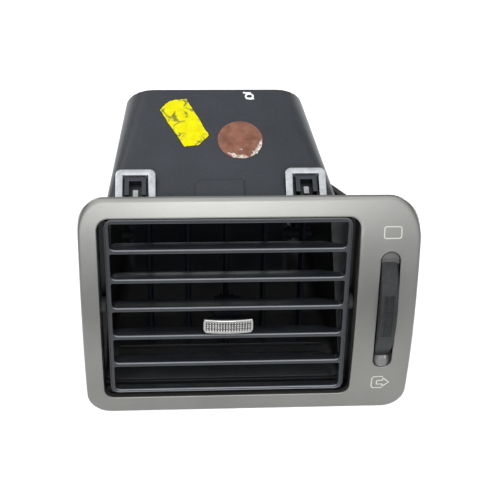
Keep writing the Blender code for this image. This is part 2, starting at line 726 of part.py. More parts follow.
def make_wheel():
    toward_face = math.pi - FACE_LEAN
    rim = sector(WHEEL_RADIUS - 0.006, WHEEL_RADIUS, WHEEL_SECTOR, toward_face)
    rim = flat_mesh("thumb_wheel", rim, WHEEL_WIDTH)
    wheel = put("thumb_wheel", rim, wheel_black, turn=SIDE_VIEW, parent=wheel_turn)
    web = sector(HUB / 2, WHEEL_RADIUS - 0.0055, WHEEL_SECTOR - 0.005, toward_face)
    join(wheel, "wheel_web", flat_mesh("wheel_web", web, 0.003), turn=SIDE_VIEW, parent=wheel_turn)
    hub = rod_mesh("wheel_hub", HUB, -WHEEL_WIDTH / 2, WHEEL_WIDTH / 2)
    join(wheel, "wheel_hub", hub, turn=ALONG_X, parent=wheel_turn)
    pin_at = (0, CRANK * math.cos(CRANK_ANGLE), CRANK * math.sin(CRANK_ANGLE))
    reach = LINK_X - LINK_THICK / 2 - CLEAR - WHEEL_X
    pin = rod_mesh("wheel_pin", CRANK_PIN, reach, 0, 20)
    join(wheel, "wheel_pin", pin, at=pin_at, turn=ALONG_X, parent=wheel_turn)
    root = rod_mesh("wheel_pin_root", CRANK_PIN + 0.0012, -WHEEL_WIDTH / 2, 0, 20)
    join(wheel, "wheel_pin_root", root, at=pin_at, turn=ALONG_X, parent=wheel_turn)
    bore = rod_mesh("wheel_bore", AXLE + CLEAR, -WHEEL_WIDTH, WHEEL_WIDTH)
    cut(wheel, "wheel_bore", bore, turn=ALONG_X, parent=wheel_turn)


def make_axle():
    side_wall = wall_right(wheel_axis[0])
    inner = side_wall + AXLE_END_GAP + CLEAR
    place = empty("axle_place", at=(0, *wheel_axis))
    axle = rod_mesh("wheel_axle", AXLE, inner, COVER_RIGHT + 0.001)
    put("wheel_axle", axle, steel, turn=ALONG_X, parent=place)
    washer = rod_mesh("axle_clip", AXLE + 0.002, COVER_RIGHT + CLEAR, COVER_RIGHT + 0.0009)
    clip = put("axle_clip", washer, steel, turn=ALONG_X, parent=place)
    bore = rod_mesh("clip_bore", AXLE + CLEAR / 3, COVER_RIGHT - WALL, COVER_RIGHT + WALL)
    cut(clip, "clip_bore", bore, turn=ALONG_X, parent=place)
    low = side_wall + AXLE_BOSS + CLEAR
    high = WHEEL_X - WHEEL_WIDTH / 2 - CLEAR
    sleeve = rod_mesh("axle_spacer", AXLE + 0.0012, low, high)
    spacer = put("axle_spacer", sleeve, carrier_black, turn=ALONG_X, parent=place)
    bore = rod_mesh("spacer_bore", AXLE + CLEAR, 0, BEZEL_WIDTH)
    cut(spacer, "spacer_bore", bore, turn=ALONG_X, parent=place)


def make_cover():
    """Carries the axle's outer end: an outer wall, a roof and a rear wall round the wheel, and a brace."""
    left = box_span(0)[1] + CLEAR
    middle = COVER_RIGHT - WALL / 2
    front = BOX_FRONT + 0.0008
    foot = 0.008
    roof_z = wheel_axis[1] + WHEEL_RADIUS + 0.0015
    roof_top = roof_z + WALL
    knee_y = wheel_axis[0] + COVER_KNEE
    rear_y = wheel_axis[0] + COVER_BEHIND_AXLE
    rear_top = roof_top - COVER_ROOF_FALL
    upper = [(rear_y, rear_top), (knee_y, roof_top), (depth_line(front, roof_top), roof_top)]
    lower = [side_point(front, up_at(front, foot)), (wheel_axis[0] - 0.004, foot)]
    wall = flat_mesh("wheel_cover", lower + [(rear_y, wheel_axis[1] - foot)] + upper, WALL)
    cover = put("wheel_cover", wall, duct_black, at=(middle, 0, 0), turn=SIDE_VIEW)
    thin = CLEAR / 10
    roof = [(y - thin, z - thin) for y, z in upper]
    roof += [(depth_line(front, roof_z), roof_z), (knee_y, roof_z), (rear_y - WALL, rear_top - WALL)]
    roof += [(rear_y - WALL, rear_top - COVER_REAR_TALL), (rear_y - thin, rear_top - COVER_REAR_TALL)]
    roof = flat_mesh("cover_roof", roof, middle - left)
    join(cover, "cover_roof", roof, at=((left + middle) / 2, 0, 0), turn=SIDE_VIEW)
    duct_y = rear_y + COVER_BRACE_RUN
    start_y = knee_y + WALL / 2
    brace = [(left + WALL, start_y - COVER_BRACE), (left + WALL, start_y), (wall_right(duct_y) + RUN, duct_y),
             (wall_right(duct_y - COVER_BRACE) + RUN, duct_y - COVER_BRACE)]
    brace_z = roof_top - 2 * thin - COVER_BRACE_TALL / 2
    join(cover, "cover_brace", flat_mesh("cover_brace", brace, COVER_BRACE_TALL), at=(0, 0, brace_z))
    boss = rod_mesh("cover_boss", 2 * AXLE, WHEEL_X + WHEEL_WIDTH / 2 + CLEAR, COVER_RIGHT - CLEAR)
    join(cover, "cover_boss", boss, at=(0, *wheel_axis), turn=ALONG_X)
    bore = rod_mesh("cover_bore", AXLE + CLEAR, WHEEL_X, BEZEL_WIDTH)
    cut(cover, "cover_bore", bore, at=(0, *wheel_axis), turn=ALONG_X)


def make_link():
    """The rod from the wheel's crank pin to the lower damper's crank."""
    dy = lower_axis[0] - wheel_axis[0]
    dz = lower_axis[1] - wheel_axis[1]
    along = math.atan2(dz, dy)
    outline = arc(0, 0, LINK_HALF, along + math.pi / 2, along + 1.5 * math.pi, 10)
    outline += arc(dy, dz, LINK_HALF, along - math.pi / 2, along + math.pi / 2, 10)
    holes = [arc(0, 0, CRANK_PIN + CLEAR, 0, math.tau * 19 / 20, 19),
             arc(dy, dz, CRANK_PIN + RUN, 0, math.tau * 19 / 20, 19)]
    pin_y = wheel_axis[0] + CRANK * math.cos(CRANK_ANGLE)
    pin_z = wheel_axis[1] + CRANK * math.sin(CRANK_ANGLE)
    place = empty("link_pin", at=(LINK_X, pin_y, pin_z))
    rod = flat_mesh("link_rod", outline, LINK_THICK, holes)
    put("link_rod", rod, carrier_black, turn=SIDE_VIEW, parent=place)


def make_damper_crank():
    x = LINK_X - LINK_THICK / 2 - CLEAR - CRANK_THICK / 2
    pin = (CRANK * math.cos(CRANK_ANGLE), CRANK * math.sin(CRANK_ANGLE))
    outline = arc(0, 0, 2 * DAMPER_SHAFT, CRANK_ANGLE + math.pi / 2, CRANK_ANGLE + 1.5 * math.pi, 12)
    outline += arc(*pin, CRANK_PIN + 0.0016, CRANK_ANGLE - math.pi / 2, CRANK_ANGLE + math.pi / 2, 10)
    bore = arc(0, 0, DAMPER_SHAFT + CLEAR, 0, math.tau * 23 / 24, 23)
    plate = flat_mesh("damper_crank", outline, CRANK_THICK, [bore])
    crank = put("damper_crank", plate, carrier_black, at=(x, 0, 0), turn=SIDE_VIEW, parent=lower_turn)
    pin_rod = rod_mesh("crank_pin", CRANK_PIN, x, LINK_X + LINK_THICK / 2 + 0.0008, 20)
    join(crank, "crank_pin", pin_rod, at=(0, *pin), turn=ALONG_X, parent=lower_turn)


# Damper


def make_damper(name, pivot, axis, shaft_end):
    """A flap on two stub shafts, with the arm and pin that tie it to the other flap, and its foam seal."""
    reach = axis[0] + DAMPER_HALF * math.cos(2 * DAMPER_ANGLE - DAMPER_CLOSED)
    left = wall_left(reach) + WALL + RUN
    right = TIE_X - LUG_GAP - LUG_THICK / 2 + 0.0001
    half = DAMPER_THICK / 2
    small = 0.001
    radii = (small, DAMPER_CORNER, small, small) if name == "upper" else (small, small, DAMPER_CORNER, small)
    outline = round_rect(left, right, -DAMPER_HALF, DAMPER_HALF, radii)
    flap = put(f"damper_{name}", flat_mesh("damper", outline, DAMPER_THICK), damper_grey,
               turn=(DAMPER_ANGLE, 0, 0), parent=pivot)
    shaft = rod_mesh("shaft_left", DAMPER_SHAFT, wall_left(axis[0]) + CLEAR, left + WALL)
    join(flap, f"shaft_left_{name}", shaft, turn=ALONG_X, parent=pivot)
    shaft = rod_mesh("shaft_right", DAMPER_SHAFT, right - WALL, shaft_end)
    join(flap, f"shaft_right_{name}", shaft, turn=ALONG_X, parent=pivot)
    pin = tie_offset()
    lug_angle = math.atan2(pin[1], pin[0])
    lug = arc(0, 0, 0.0036, lug_angle + math.pi / 2, lug_angle + 1.5 * math.pi, 10)
    lug += arc(*pin, TIE_PIN + 0.0012, lug_angle - math.pi / 2, lug_angle + math.pi / 2, 8)
    lug_x = TIE_X - LUG_GAP
    lug = flat_mesh("lug", lug, LUG_THICK)
    join(flap, f"lug_{name}", lug, at=(lug_x, 0, 0), turn=SIDE_VIEW, parent=pivot)
    tie_pin = rod_mesh("tie_pin", TIE_PIN, lug_x, TIE_X + TIE_PIN, 16)
    join(flap, f"tie_pin_{name}", tie_pin, at=(0, *pin), turn=ALONG_X, parent=pivot)
    low = half + CLEAR
    seal_half = DAMPER_HALF - SEAL_INSET
    seal = box_mesh("damper_seal", (left + SEAL_INSET, right - SEAL_INSET), (-seal_half, seal_half),
                    (low, low + SEAL_THICK))
    put(f"damper_seal_{name}", seal, foam, turn=(DAMPER_ANGLE, 0, 0), parent=pivot)


def tie_offset():
    """From a damper's axis to its tie pin, square to the flap and below it."""
    angle = DAMPER_ANGLE - math.pi / 2
    return DAMPER_ARM * math.cos(angle), DAMPER_ARM * math.sin(angle)


def make_damper_tie():
    dy = upper_axis[0] - lower_axis[0]
    dz = upper_axis[1] - lower_axis[1]
    along = math.atan2(dz, dy)
    half = 0.003
    outline = arc(0, 0, half, along + math.pi / 2, along + 1.5 * math.pi, 8)
    outline += arc(dy, dz, half, along - math.pi / 2, along + math.pi / 2, 8)
    holes = []
    for y, z, grow in ((0, 0, CLEAR), (dy, dz, RUN)):
        holes.append(arc(y, z, TIE_PIN + grow, 0, math.tau * 15 / 16, 15))
    pin = tie_offset()
    place = empty("tie_pin_place", at=(TIE_X, lower_axis[0] + pin[0], lower_axis[1] + pin[1]))
    rod = flat_mesh("damper_tie", outline, 0.0018, holes)
    put("damper_tie", rod, carrier_black, turn=SIDE_VIEW, parent=place)


# Clips


def make_clip(name, left, right, behind):
    """A bent sheet-metal spring clip on the duct's top, round a moulded latch."""
    y0 = FRONT_Y + TOP_Y + behind[0]
    y1 = FRONT_Y + TOP_Y + behind[1]
    wide = right - left
    deep = y1 - y0
    corner = CLIP_CORNER
    outer = arc(wide - corner, deep - corner, corner, 0, math.pi / 2, 5)
    outer += arc(corner, deep - corner, corner, math.pi / 2, math.pi, 5)
    inner = [(0, 0), (CLIP_LEG, 0), (CLIP_LEG, deep - CLIP_BAR), (wide - CLIP_LEG, deep - CLIP_BAR),
             (wide - CLIP_LEG, 0)]
    sheet = flat_mesh("spring_clip", [(wide, 0)] + outer + inner, CLIP_SHEET)
    clip = put(f"spring_clip_{name}", sheet, zinc, at=(left, y0, DUCT_TOP + CLEAR + CLIP_SHEET / 2),
               turn=(CLIP_LIFT, 0, 0))
    drop = deep * math.sin(CLIP_LIFT) - CLEAR
    lip_y = y0 + (deep - CLIP_BAR) * math.cos(CLIP_LIFT)
    lip_top = DUCT_TOP + (deep - CLIP_BAR / 2) * math.sin(CLIP_LIFT) + CLIP_SHEET / 2
    lip_x = (left + CLIP_LEG + CLEAR, right - CLIP_LEG - CLEAR)
    lip = box_mesh("clip_lip", lip_x, (lip_y - CLIP_SHEET / 4, lip_y + CLIP_SHEET), (lip_top - drop, lip_top))
    join(clip, f"clip_lip_{name}", lip)
    half = HOOK_HALF
    wall = HOOK_WALL
    hook_back = y1 - CLIP_BAR - 0.0016
    hook_front = y0 + 0.0006
    hook = [(-half, hook_front), (wall - half, hook_front), (wall - half, hook_back - wall),
            (half - wall, hook_back - wall), (half - wall, hook_front), (half, hook_front), (half, hook_back),
            (-half, hook_back)]
    hook = flat_mesh("latch_hook", hook, HOOK_TALL)
    put(f"latch_hook_{name}", hook, duct_black, at=((left + right) / 2, 0, DUCT_TOP + CLEAR + HOOK_TALL / 2))


clear_scene()
parts = new_collection("dashboard_air_vent")
cutters = new_collection("cutters")
cutters.hide_render = True

silver = material("bezel_silver", (0.52, 0.52, 0.54), 0.38, 0.6)
duct_black = material("duct_plastic", (0.075, 0.085, 0.1), 0.5)
grille_black = material("grille_plastic", (0.02, 0.022, 0.026), 0.45)
vane_black = material("vane_plastic", (0.018, 0.02, 0.022), 0.5)
wheel_black = material("wheel_rubber", (0.03, 0.03, 0.033), 0.6)
carrier_black = material("carrier_plastic", (0.03, 0.03, 0.03), 0.5)
chrome = material("knob_chrome", (0.62, 0.62, 0.63), 0.25, 0.9)
zinc = material("clip_zinc", (0.68, 0.7, 0.71), 0.3, 0.9)
steel = material("pin_steel", (0.5, 0.5, 0.5), 0.3, 1.0)
felt = material("felt", (0.05, 0.05, 0.05), 0.95)
foam = material("foam", (0.04, 0.04, 0.04), 0.95)
damper_grey = material("damper_plastic", (0.1, 0.1, 0.11), 0.55)

wheel_axis = side_point(WHEEL_RADIUS - WHEEL_PROUD - bulge(WHEEL_UP), WHEEL_UP)
grille_axis = side_point(PIVOT_DEPTH, GRILLE_MID)
upper_z = DUCT_TOP - WALL - DAMPER_TOP_GAP - DAMPER_HALF * math.sin(DAMPER_CLOSED)
open_reach = DAMPER_HALF * math.cos(2 * DAMPER_ANGLE - DAMPER_CLOSED)
upper_axis = (FRONT_Y + TOTAL_DEPTH - 0.0011 - open_reach, upper_z)
flap_step = 2 * DAMPER_HALF + 0.001
lower_z = upper_z - flap_step * math.sin(DAMPER_CLOSED)
lower_axis = (upper_axis[0] - flap_step * math.cos(DAMPER_CLOSED), lower_z)
RAIL_Z_LOW = floor_z(depth_line(VANE_AXIS, RAIL_HALF) + RAIL_HALF) + WALL + CLEAR + RAIL_THICK / 2
RAIL_Z_HIGH = DUCT_TOP - WALL - RAIL_DROP - RAIL_THICK / 2
COVER_RIGHT = WHEEL_X + WHEEL_WIDTH / 2 + 0.004
LINK_X = wall_right(wheel_axis[0]) + AXLE_BOSS + LINK_FROM_BOSS
TIE_X = wall_right(upper_axis[0] + DAMPER_ARM) - WALL - TIE_FROM_WALL

face = empty("face_frame", at=(0, FRONT_Y, 0), turn=(-FACE_LEAN, 0, 0))
tilt = empty("grille_pivot", at=(GRILLE_X, *grille_axis), turn=(-FACE_LEAN, 0, 0))
wheel_turn = empty("wheel_pivot", at=(WHEEL_X, *wheel_axis))
lower_turn = empty("lower_damper_pivot", at=(0, *lower_axis))
upper_turn = empty("upper_damper_pivot", at=(0, *upper_axis))

make_bezel()
make_housing()
make_rear_ribs()
make_grille()
make_grille_pivots()
make_knob()
make_knob_carrier()
make_vanes()
make_tie_bar()
make_rails()
make_wheel()
make_axle()
make_cover()
make_link()
make_damper_crank()
make_damper("lower", lower_turn, lower_axis, LINK_X - LINK_THICK / 2 - 2 * CLEAR)
make_damper("upper", upper_turn, upper_axis, wall_right(upper_axis[0]) - CLEAR)
make_damper_tie()
clip_left = DUCT_LEFT_FRONT + CLIP_LEFT_INSET
clip_right = DUCT_RIGHT_FRONT - CLIP_RIGHT_INSET
make_clip("left", clip_left, clip_left + CLIP_LEFT_WIDTH, CLIP_LEFT_BEHIND)
make_clip("right", clip_right - CLIP_RIGHT_WIDTH, clip_right, CLIP_RIGHT_BEHIND)
bpy.context.view_layer.update()
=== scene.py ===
import json
import math
import bpy
import numpy as np
from mathutils import Matrix, Vector
from mathutils.geometry import tessellate_polygon


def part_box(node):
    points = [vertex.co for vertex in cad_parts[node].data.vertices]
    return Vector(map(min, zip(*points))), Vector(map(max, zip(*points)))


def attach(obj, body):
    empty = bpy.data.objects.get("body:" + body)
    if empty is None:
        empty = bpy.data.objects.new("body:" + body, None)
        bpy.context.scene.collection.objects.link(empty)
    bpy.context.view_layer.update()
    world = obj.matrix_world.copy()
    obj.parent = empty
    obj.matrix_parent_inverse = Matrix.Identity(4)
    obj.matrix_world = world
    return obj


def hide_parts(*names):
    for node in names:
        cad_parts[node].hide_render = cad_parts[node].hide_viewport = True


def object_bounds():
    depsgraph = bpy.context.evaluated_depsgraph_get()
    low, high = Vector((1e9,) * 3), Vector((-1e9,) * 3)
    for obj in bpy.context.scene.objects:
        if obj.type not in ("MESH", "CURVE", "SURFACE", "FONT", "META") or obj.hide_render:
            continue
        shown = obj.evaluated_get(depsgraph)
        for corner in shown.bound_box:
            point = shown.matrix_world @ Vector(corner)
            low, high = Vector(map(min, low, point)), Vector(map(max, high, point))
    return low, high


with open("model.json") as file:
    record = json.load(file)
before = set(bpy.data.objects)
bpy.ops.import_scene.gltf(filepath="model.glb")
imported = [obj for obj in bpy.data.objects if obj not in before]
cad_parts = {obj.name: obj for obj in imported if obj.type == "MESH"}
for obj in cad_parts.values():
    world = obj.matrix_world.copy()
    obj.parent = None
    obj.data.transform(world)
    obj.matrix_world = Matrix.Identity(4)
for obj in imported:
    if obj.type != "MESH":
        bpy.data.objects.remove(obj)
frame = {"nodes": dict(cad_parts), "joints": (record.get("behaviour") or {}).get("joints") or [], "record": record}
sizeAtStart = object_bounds()
low, high = (np.array(corner) for corner in sizeAtStart)

faceShape = {"lean": math.radians(32.6), "rise": 0.0067, "openLeft": 0.0082, "openRight": 0.0271,
             "openLow": 0.0097, "openHigh": 0.0086, "ductDrop": 0.0040}
lean = faceShape["lean"]  # of the face, from upright
faceY = -high[1]  # the face plane meets the floor as far in front as the duct ends behind
bezelLow, bezelHigh = (np.array(corner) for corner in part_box("bezel"))
faceHeight = bezelHigh[2] / math.cos(lean)
openLeft, openRight = bezelLow[0] + faceShape["openLeft"], bezelHigh[0] - faceShape["openRight"]
openLow, openHigh = faceShape["openLow"], faceHeight - faceShape["openHigh"]
ductTop = bezelHigh[2] - faceShape["ductDrop"]
edgeY = faceY + faceHeight * math.sin(lean)  # the bezel's top edge
normalUp = np.array([0, -math.cos(lean), math.sin(lean)])  # square to the face plane, outward


def facePoint(x, up, depth):
    # a place on the leaning face, from its height up the face and its depth behind the face plane
    x, up, depth = np.broadcast_arrays(x, up, depth)
    y = faceY + up * math.sin(lean) + depth * math.cos(lean)
    z = up * math.cos(lean) - depth * math.sin(lean)
    return np.stack([x, y, z], axis=-1)


def bulge(up):
    # a circular arc over the face's height
    rise = faceShape["rise"]
    radius = (faceHeight ** 2 / 4 + rise ** 2) / (2 * rise)
    return np.sqrt(radius ** 2 - (np.asarray(up) - faceHeight / 2) ** 2) - radius + rise


def upOf(z, inset):
    # the height up the face of a level line on the curved face, sunk by inset, by repeated substitution
    up = np.asarray(z) / math.cos(lean)
    for _ in range(6):
        up = (z + (inset - bulge(up)) * math.sin(lean)) / math.cos(lean)
    return up


def makeMesh(name, shells, paint, smooth=40):
    # one mesh from several closed shells, its normals turned outward
    points, faces, start = [], [], 0
    for shellPoints, shellFaces in shells:
        points.append(shellPoints)
        faces += [tuple(int(i) + start for i in face) for face in shellFaces]
        start += len(shellPoints)
    mesh = bpy.data.meshes.new(name)
    mesh.from_pydata(np.concatenate(points).tolist(), [], faces)
    mesh.validate()
    mesh.materials.append(paint)
    mesh.shade_smooth()
    mesh.set_sharp_from_angle(angle=math.radians(smooth))
    piece = bpy.data.objects.new(name, mesh)
    bpy.context.scene.collection.objects.link(piece)
    return piece


def outward(points, faces):
    # the sum of signed tetrahedra tells whether a closed shell faces outward
    total = 0.0
    for face in faces:
        a = points[face[0]]
        for i in range(1, len(face) - 1):
            total += float(np.dot(a, np.cross(points[face[i]], points[face[i + 1]])))
    return faces if total > 0 else [tuple(reversed(face)) for face in faces]


def gridFaces(rows, columns, wrapRows, wrapColumns):
    i = np.arange(rows if wrapRows else rows - 1)[:, None]
    j = np.arange(columns if wrapColumns else columns - 1)[None, :]
    a, b = i * columns + j, i * columns + (j + 1) % columns
    c, d = ((i + 1) % rows) * columns + (j + 1) % columns, ((i + 1) % rows) * columns + j
    return np.stack([a, b, c, d], axis=-1).reshape(-1, 4)


def ringShell(loops):
    # closed loops swept into a closed ring
    loops = np.asarray(loops, float)
    rows, columns = loops.shape[:2]
    points = loops.reshape(-1, 3)
    return points, outward(points, [tuple(f) for f in gridFaces(rows, columns, True, True)])


def tubeShell(loops):
    # closed loops swept into a solid with flat ends
    loops = np.asarray(loops, float)
    rows, columns = loops.shape[:2]
    points = loops.reshape(-1, 3)
    faces = [tuple(f) for f in gridFaces(rows, columns, False, True)]
    for row, flip in ((0, True), (rows - 1, False)):
        ring = [row * columns + k for k in range(columns)]
        cap = tessellate_polygon([[Vector(points[k]) for k in ring]])
        cap = [tuple(ring[k] for k in face) for face in cap]
        wanted = set(zip(ring[1:] + ring[:1], ring)) if not flip else set(zip(ring, ring[1:] + ring[:1]))
        edges = {(face[k], face[(k + 1) % 3]) for face in cap for k in range(3)}
        if not edges & wanted:
            cap = [tuple(reversed(face)) for face in cap]
        faces += [tuple(reversed(face)) for face in cap]
    return points, outward(points, faces)


def slabShell(top, bottom):
    # two grids of the same shape joined round their edges
    top, bottom = np.asarray(top, float), np.asarray(bottom, float)
    rows, columns = top.shape[:2]
    count = rows * columns
    points = np.concatenate([top.reshape(-1, 3), bottom.reshape(-1, 3)])
    faces = [tuple(f) for f in gridFaces(rows, columns, False, False)]
    faces += [tuple(count + k for k in reversed(f)) for f in faces]
    border = list(range(columns)) + [r * columns + columns - 1 for r in range(1, rows)]
    border += [(rows - 1) * columns + k for k in range(columns - 2, -1, -1)]
    border += [r * columns for r in range(rows - 2, 0, -1)]
    for a, b in zip(border, border[1:] + border[:1]):
        faces.append((b, a, count + a, count + b))
    return points, outward(points, faces)


def discShell(boundary, topOf, thick, rings=10):
    # a star-shaped outline filled by rings shrinking to its middle, lifted by topOf(x, y), thick metres deep
    boundary = np.asarray(boundary, float)
    middle = boundary.mean(axis=0)
    share = np.linspace(1, 1 / rings, rings)[:, None, None]
    flat = middle + (boundary - middle)[None] * share
    count = len(boundary)
    x, y = flat[..., 0], flat[..., 1]
    top = np.stack([x, y, topOf(x, y)], axis=-1).reshape(-1, 3)
    base = top - np.array([0, 0, thick])
    middleTop = float(topOf(*middle))
    poles = np.array([[*middle, middleTop], [*middle, middleTop - thick]])
    points = np.concatenate([top, base, poles])
    faces = [tuple(f) for f in gridFaces(rings, count, False, True)]
    last = (rings - 1) * count
    size = len(top)
    faces += [(last + k, last + (k + 1) % count, 2 * size) for k in range(count)]
    under = [tuple(size + k for k in reversed(f)) for f in faces if 2 * size not in f]
    under += [(size + last + (k + 1) % count, size + last + k, 2 * size + 1) for k in range(count)]
    rim = [((k + 1) % count, k, size + k, size + (k + 1) % count) for k in range(count)]
    faces = faces + under + rim
    return points, outward(points, faces)


def roundRect(x0, x1, y0, y1, radius, cornerSteps=12, sideSteps=24):
    # quarter arcs joined by divided sides, so that every such loop has equally many points
    # radius is one number or four, from the upper right corner round by the upper left
    radii = np.broadcast_to(radius, 4)
    corners = ((x1, y1, -1, -1), (x0, y1, 1, -1), (x0, y0, 1, 1), (x1, y0, -1, 1))
    arcs = []
    for k, ((x, y, sx, sy), r) in enumerate(zip(corners, radii)):
        a = (k + np.linspace(0, 1, cornerSteps + 1)) * math.pi / 2
        arcs.append(np.stack([x + sx * r + r * np.cos(a), y + sy * r + r * np.sin(a)], axis=-1))
    parts = []
    for k in range(4):
        start, end = arcs[k][-1], arcs[(k + 1) % 4][0]
        t = np.linspace(0, 1, sideSteps + 1)[1:-1, None]
        parts += [arcs[k], start + (end - start) * t]
    return np.concatenate(parts)


def ribbonShell(path, upward, width, height, closed, rise=6):
    # a rounded strip along a path: its section is half an ellipse standing on the surface
    path, upward = np.asarray(path, float), np.asarray(upward, float)
    if closed:
        along = np.roll(path, -1, axis=0) - np.roll(path, 1, axis=0)
    else:
        along = np.gradient(path, axis=0)
    along /= np.linalg.norm(along, axis=1, keepdims=True)
    side = np.cross(along, upward)
    side /= np.linalg.norm(side, axis=1, keepdims=True)
    a = np.linspace(0, math.pi, rise + 1)
    section = np.stack([np.cos(a) * width / 2, np.sin(a) * height], axis=-1)
    section = np.concatenate([section, [[-width / 2, -height], [width / 2, -height]]])
    loops = path[:, None] + side[:, None] * section[None, :, :1] + upward[:, None] * section[None, :, 1:]
    return ringShell(loops) if closed else tubeShell(loops)


def rodShell(start, end, radius, rounding=0.0002, steps=40):
    # a cylinder with rounded rims between two points
    start, end = np.asarray(start, float), np.asarray(end, float)
    axis = (end - start) / np.linalg.norm(end - start)
    side = np.cross(axis, [0.3, 0.5, 0.8])
    side /= np.linalg.norm(side)
    other = np.cross(axis, side)
    a = np.arange(steps) * 2 * math.pi / steps
    circle = np.cos(a)[:, None] * side + np.sin(a)[:, None] * other
    loops = []
    for base, sign in ((start, 1), (end, -1)):
        turns = np.linspace(0, math.pi / 2, 4)
        turns = turns if sign == 1 else turns[::-1]
        for t in turns:
            r = radius - rounding * (1 - math.sin(t))
            loops.append(base + axis * sign * rounding * (1 - math.cos(t)) + circle * r)
    return tubeShell(loops)


def node(tree, kind, **inputs):
    made = tree.nodes.new(kind)
    for name, value in inputs.items():
        name = name.replace("_", " ")
        if isinstance(value, bpy.types.NodeSocket):
            tree.links.new(value, made.inputs[name])
        else:
            made.inputs[name].default_value = value
    return made


def ramp(tree, factor, stops):
    made = tree.nodes.new("ShaderNodeValToRGB")
    tree.links.new(factor, made.inputs["Fac"])
    while len(made.color_ramp.elements) < len(stops):
        made.color_ramp.elements.new(0.5)
    for element, (place, color) in zip(made.color_ramp.elements, stops):
        element.position = place
        element.color = (*color, 1)
    return made.outputs["Color"]


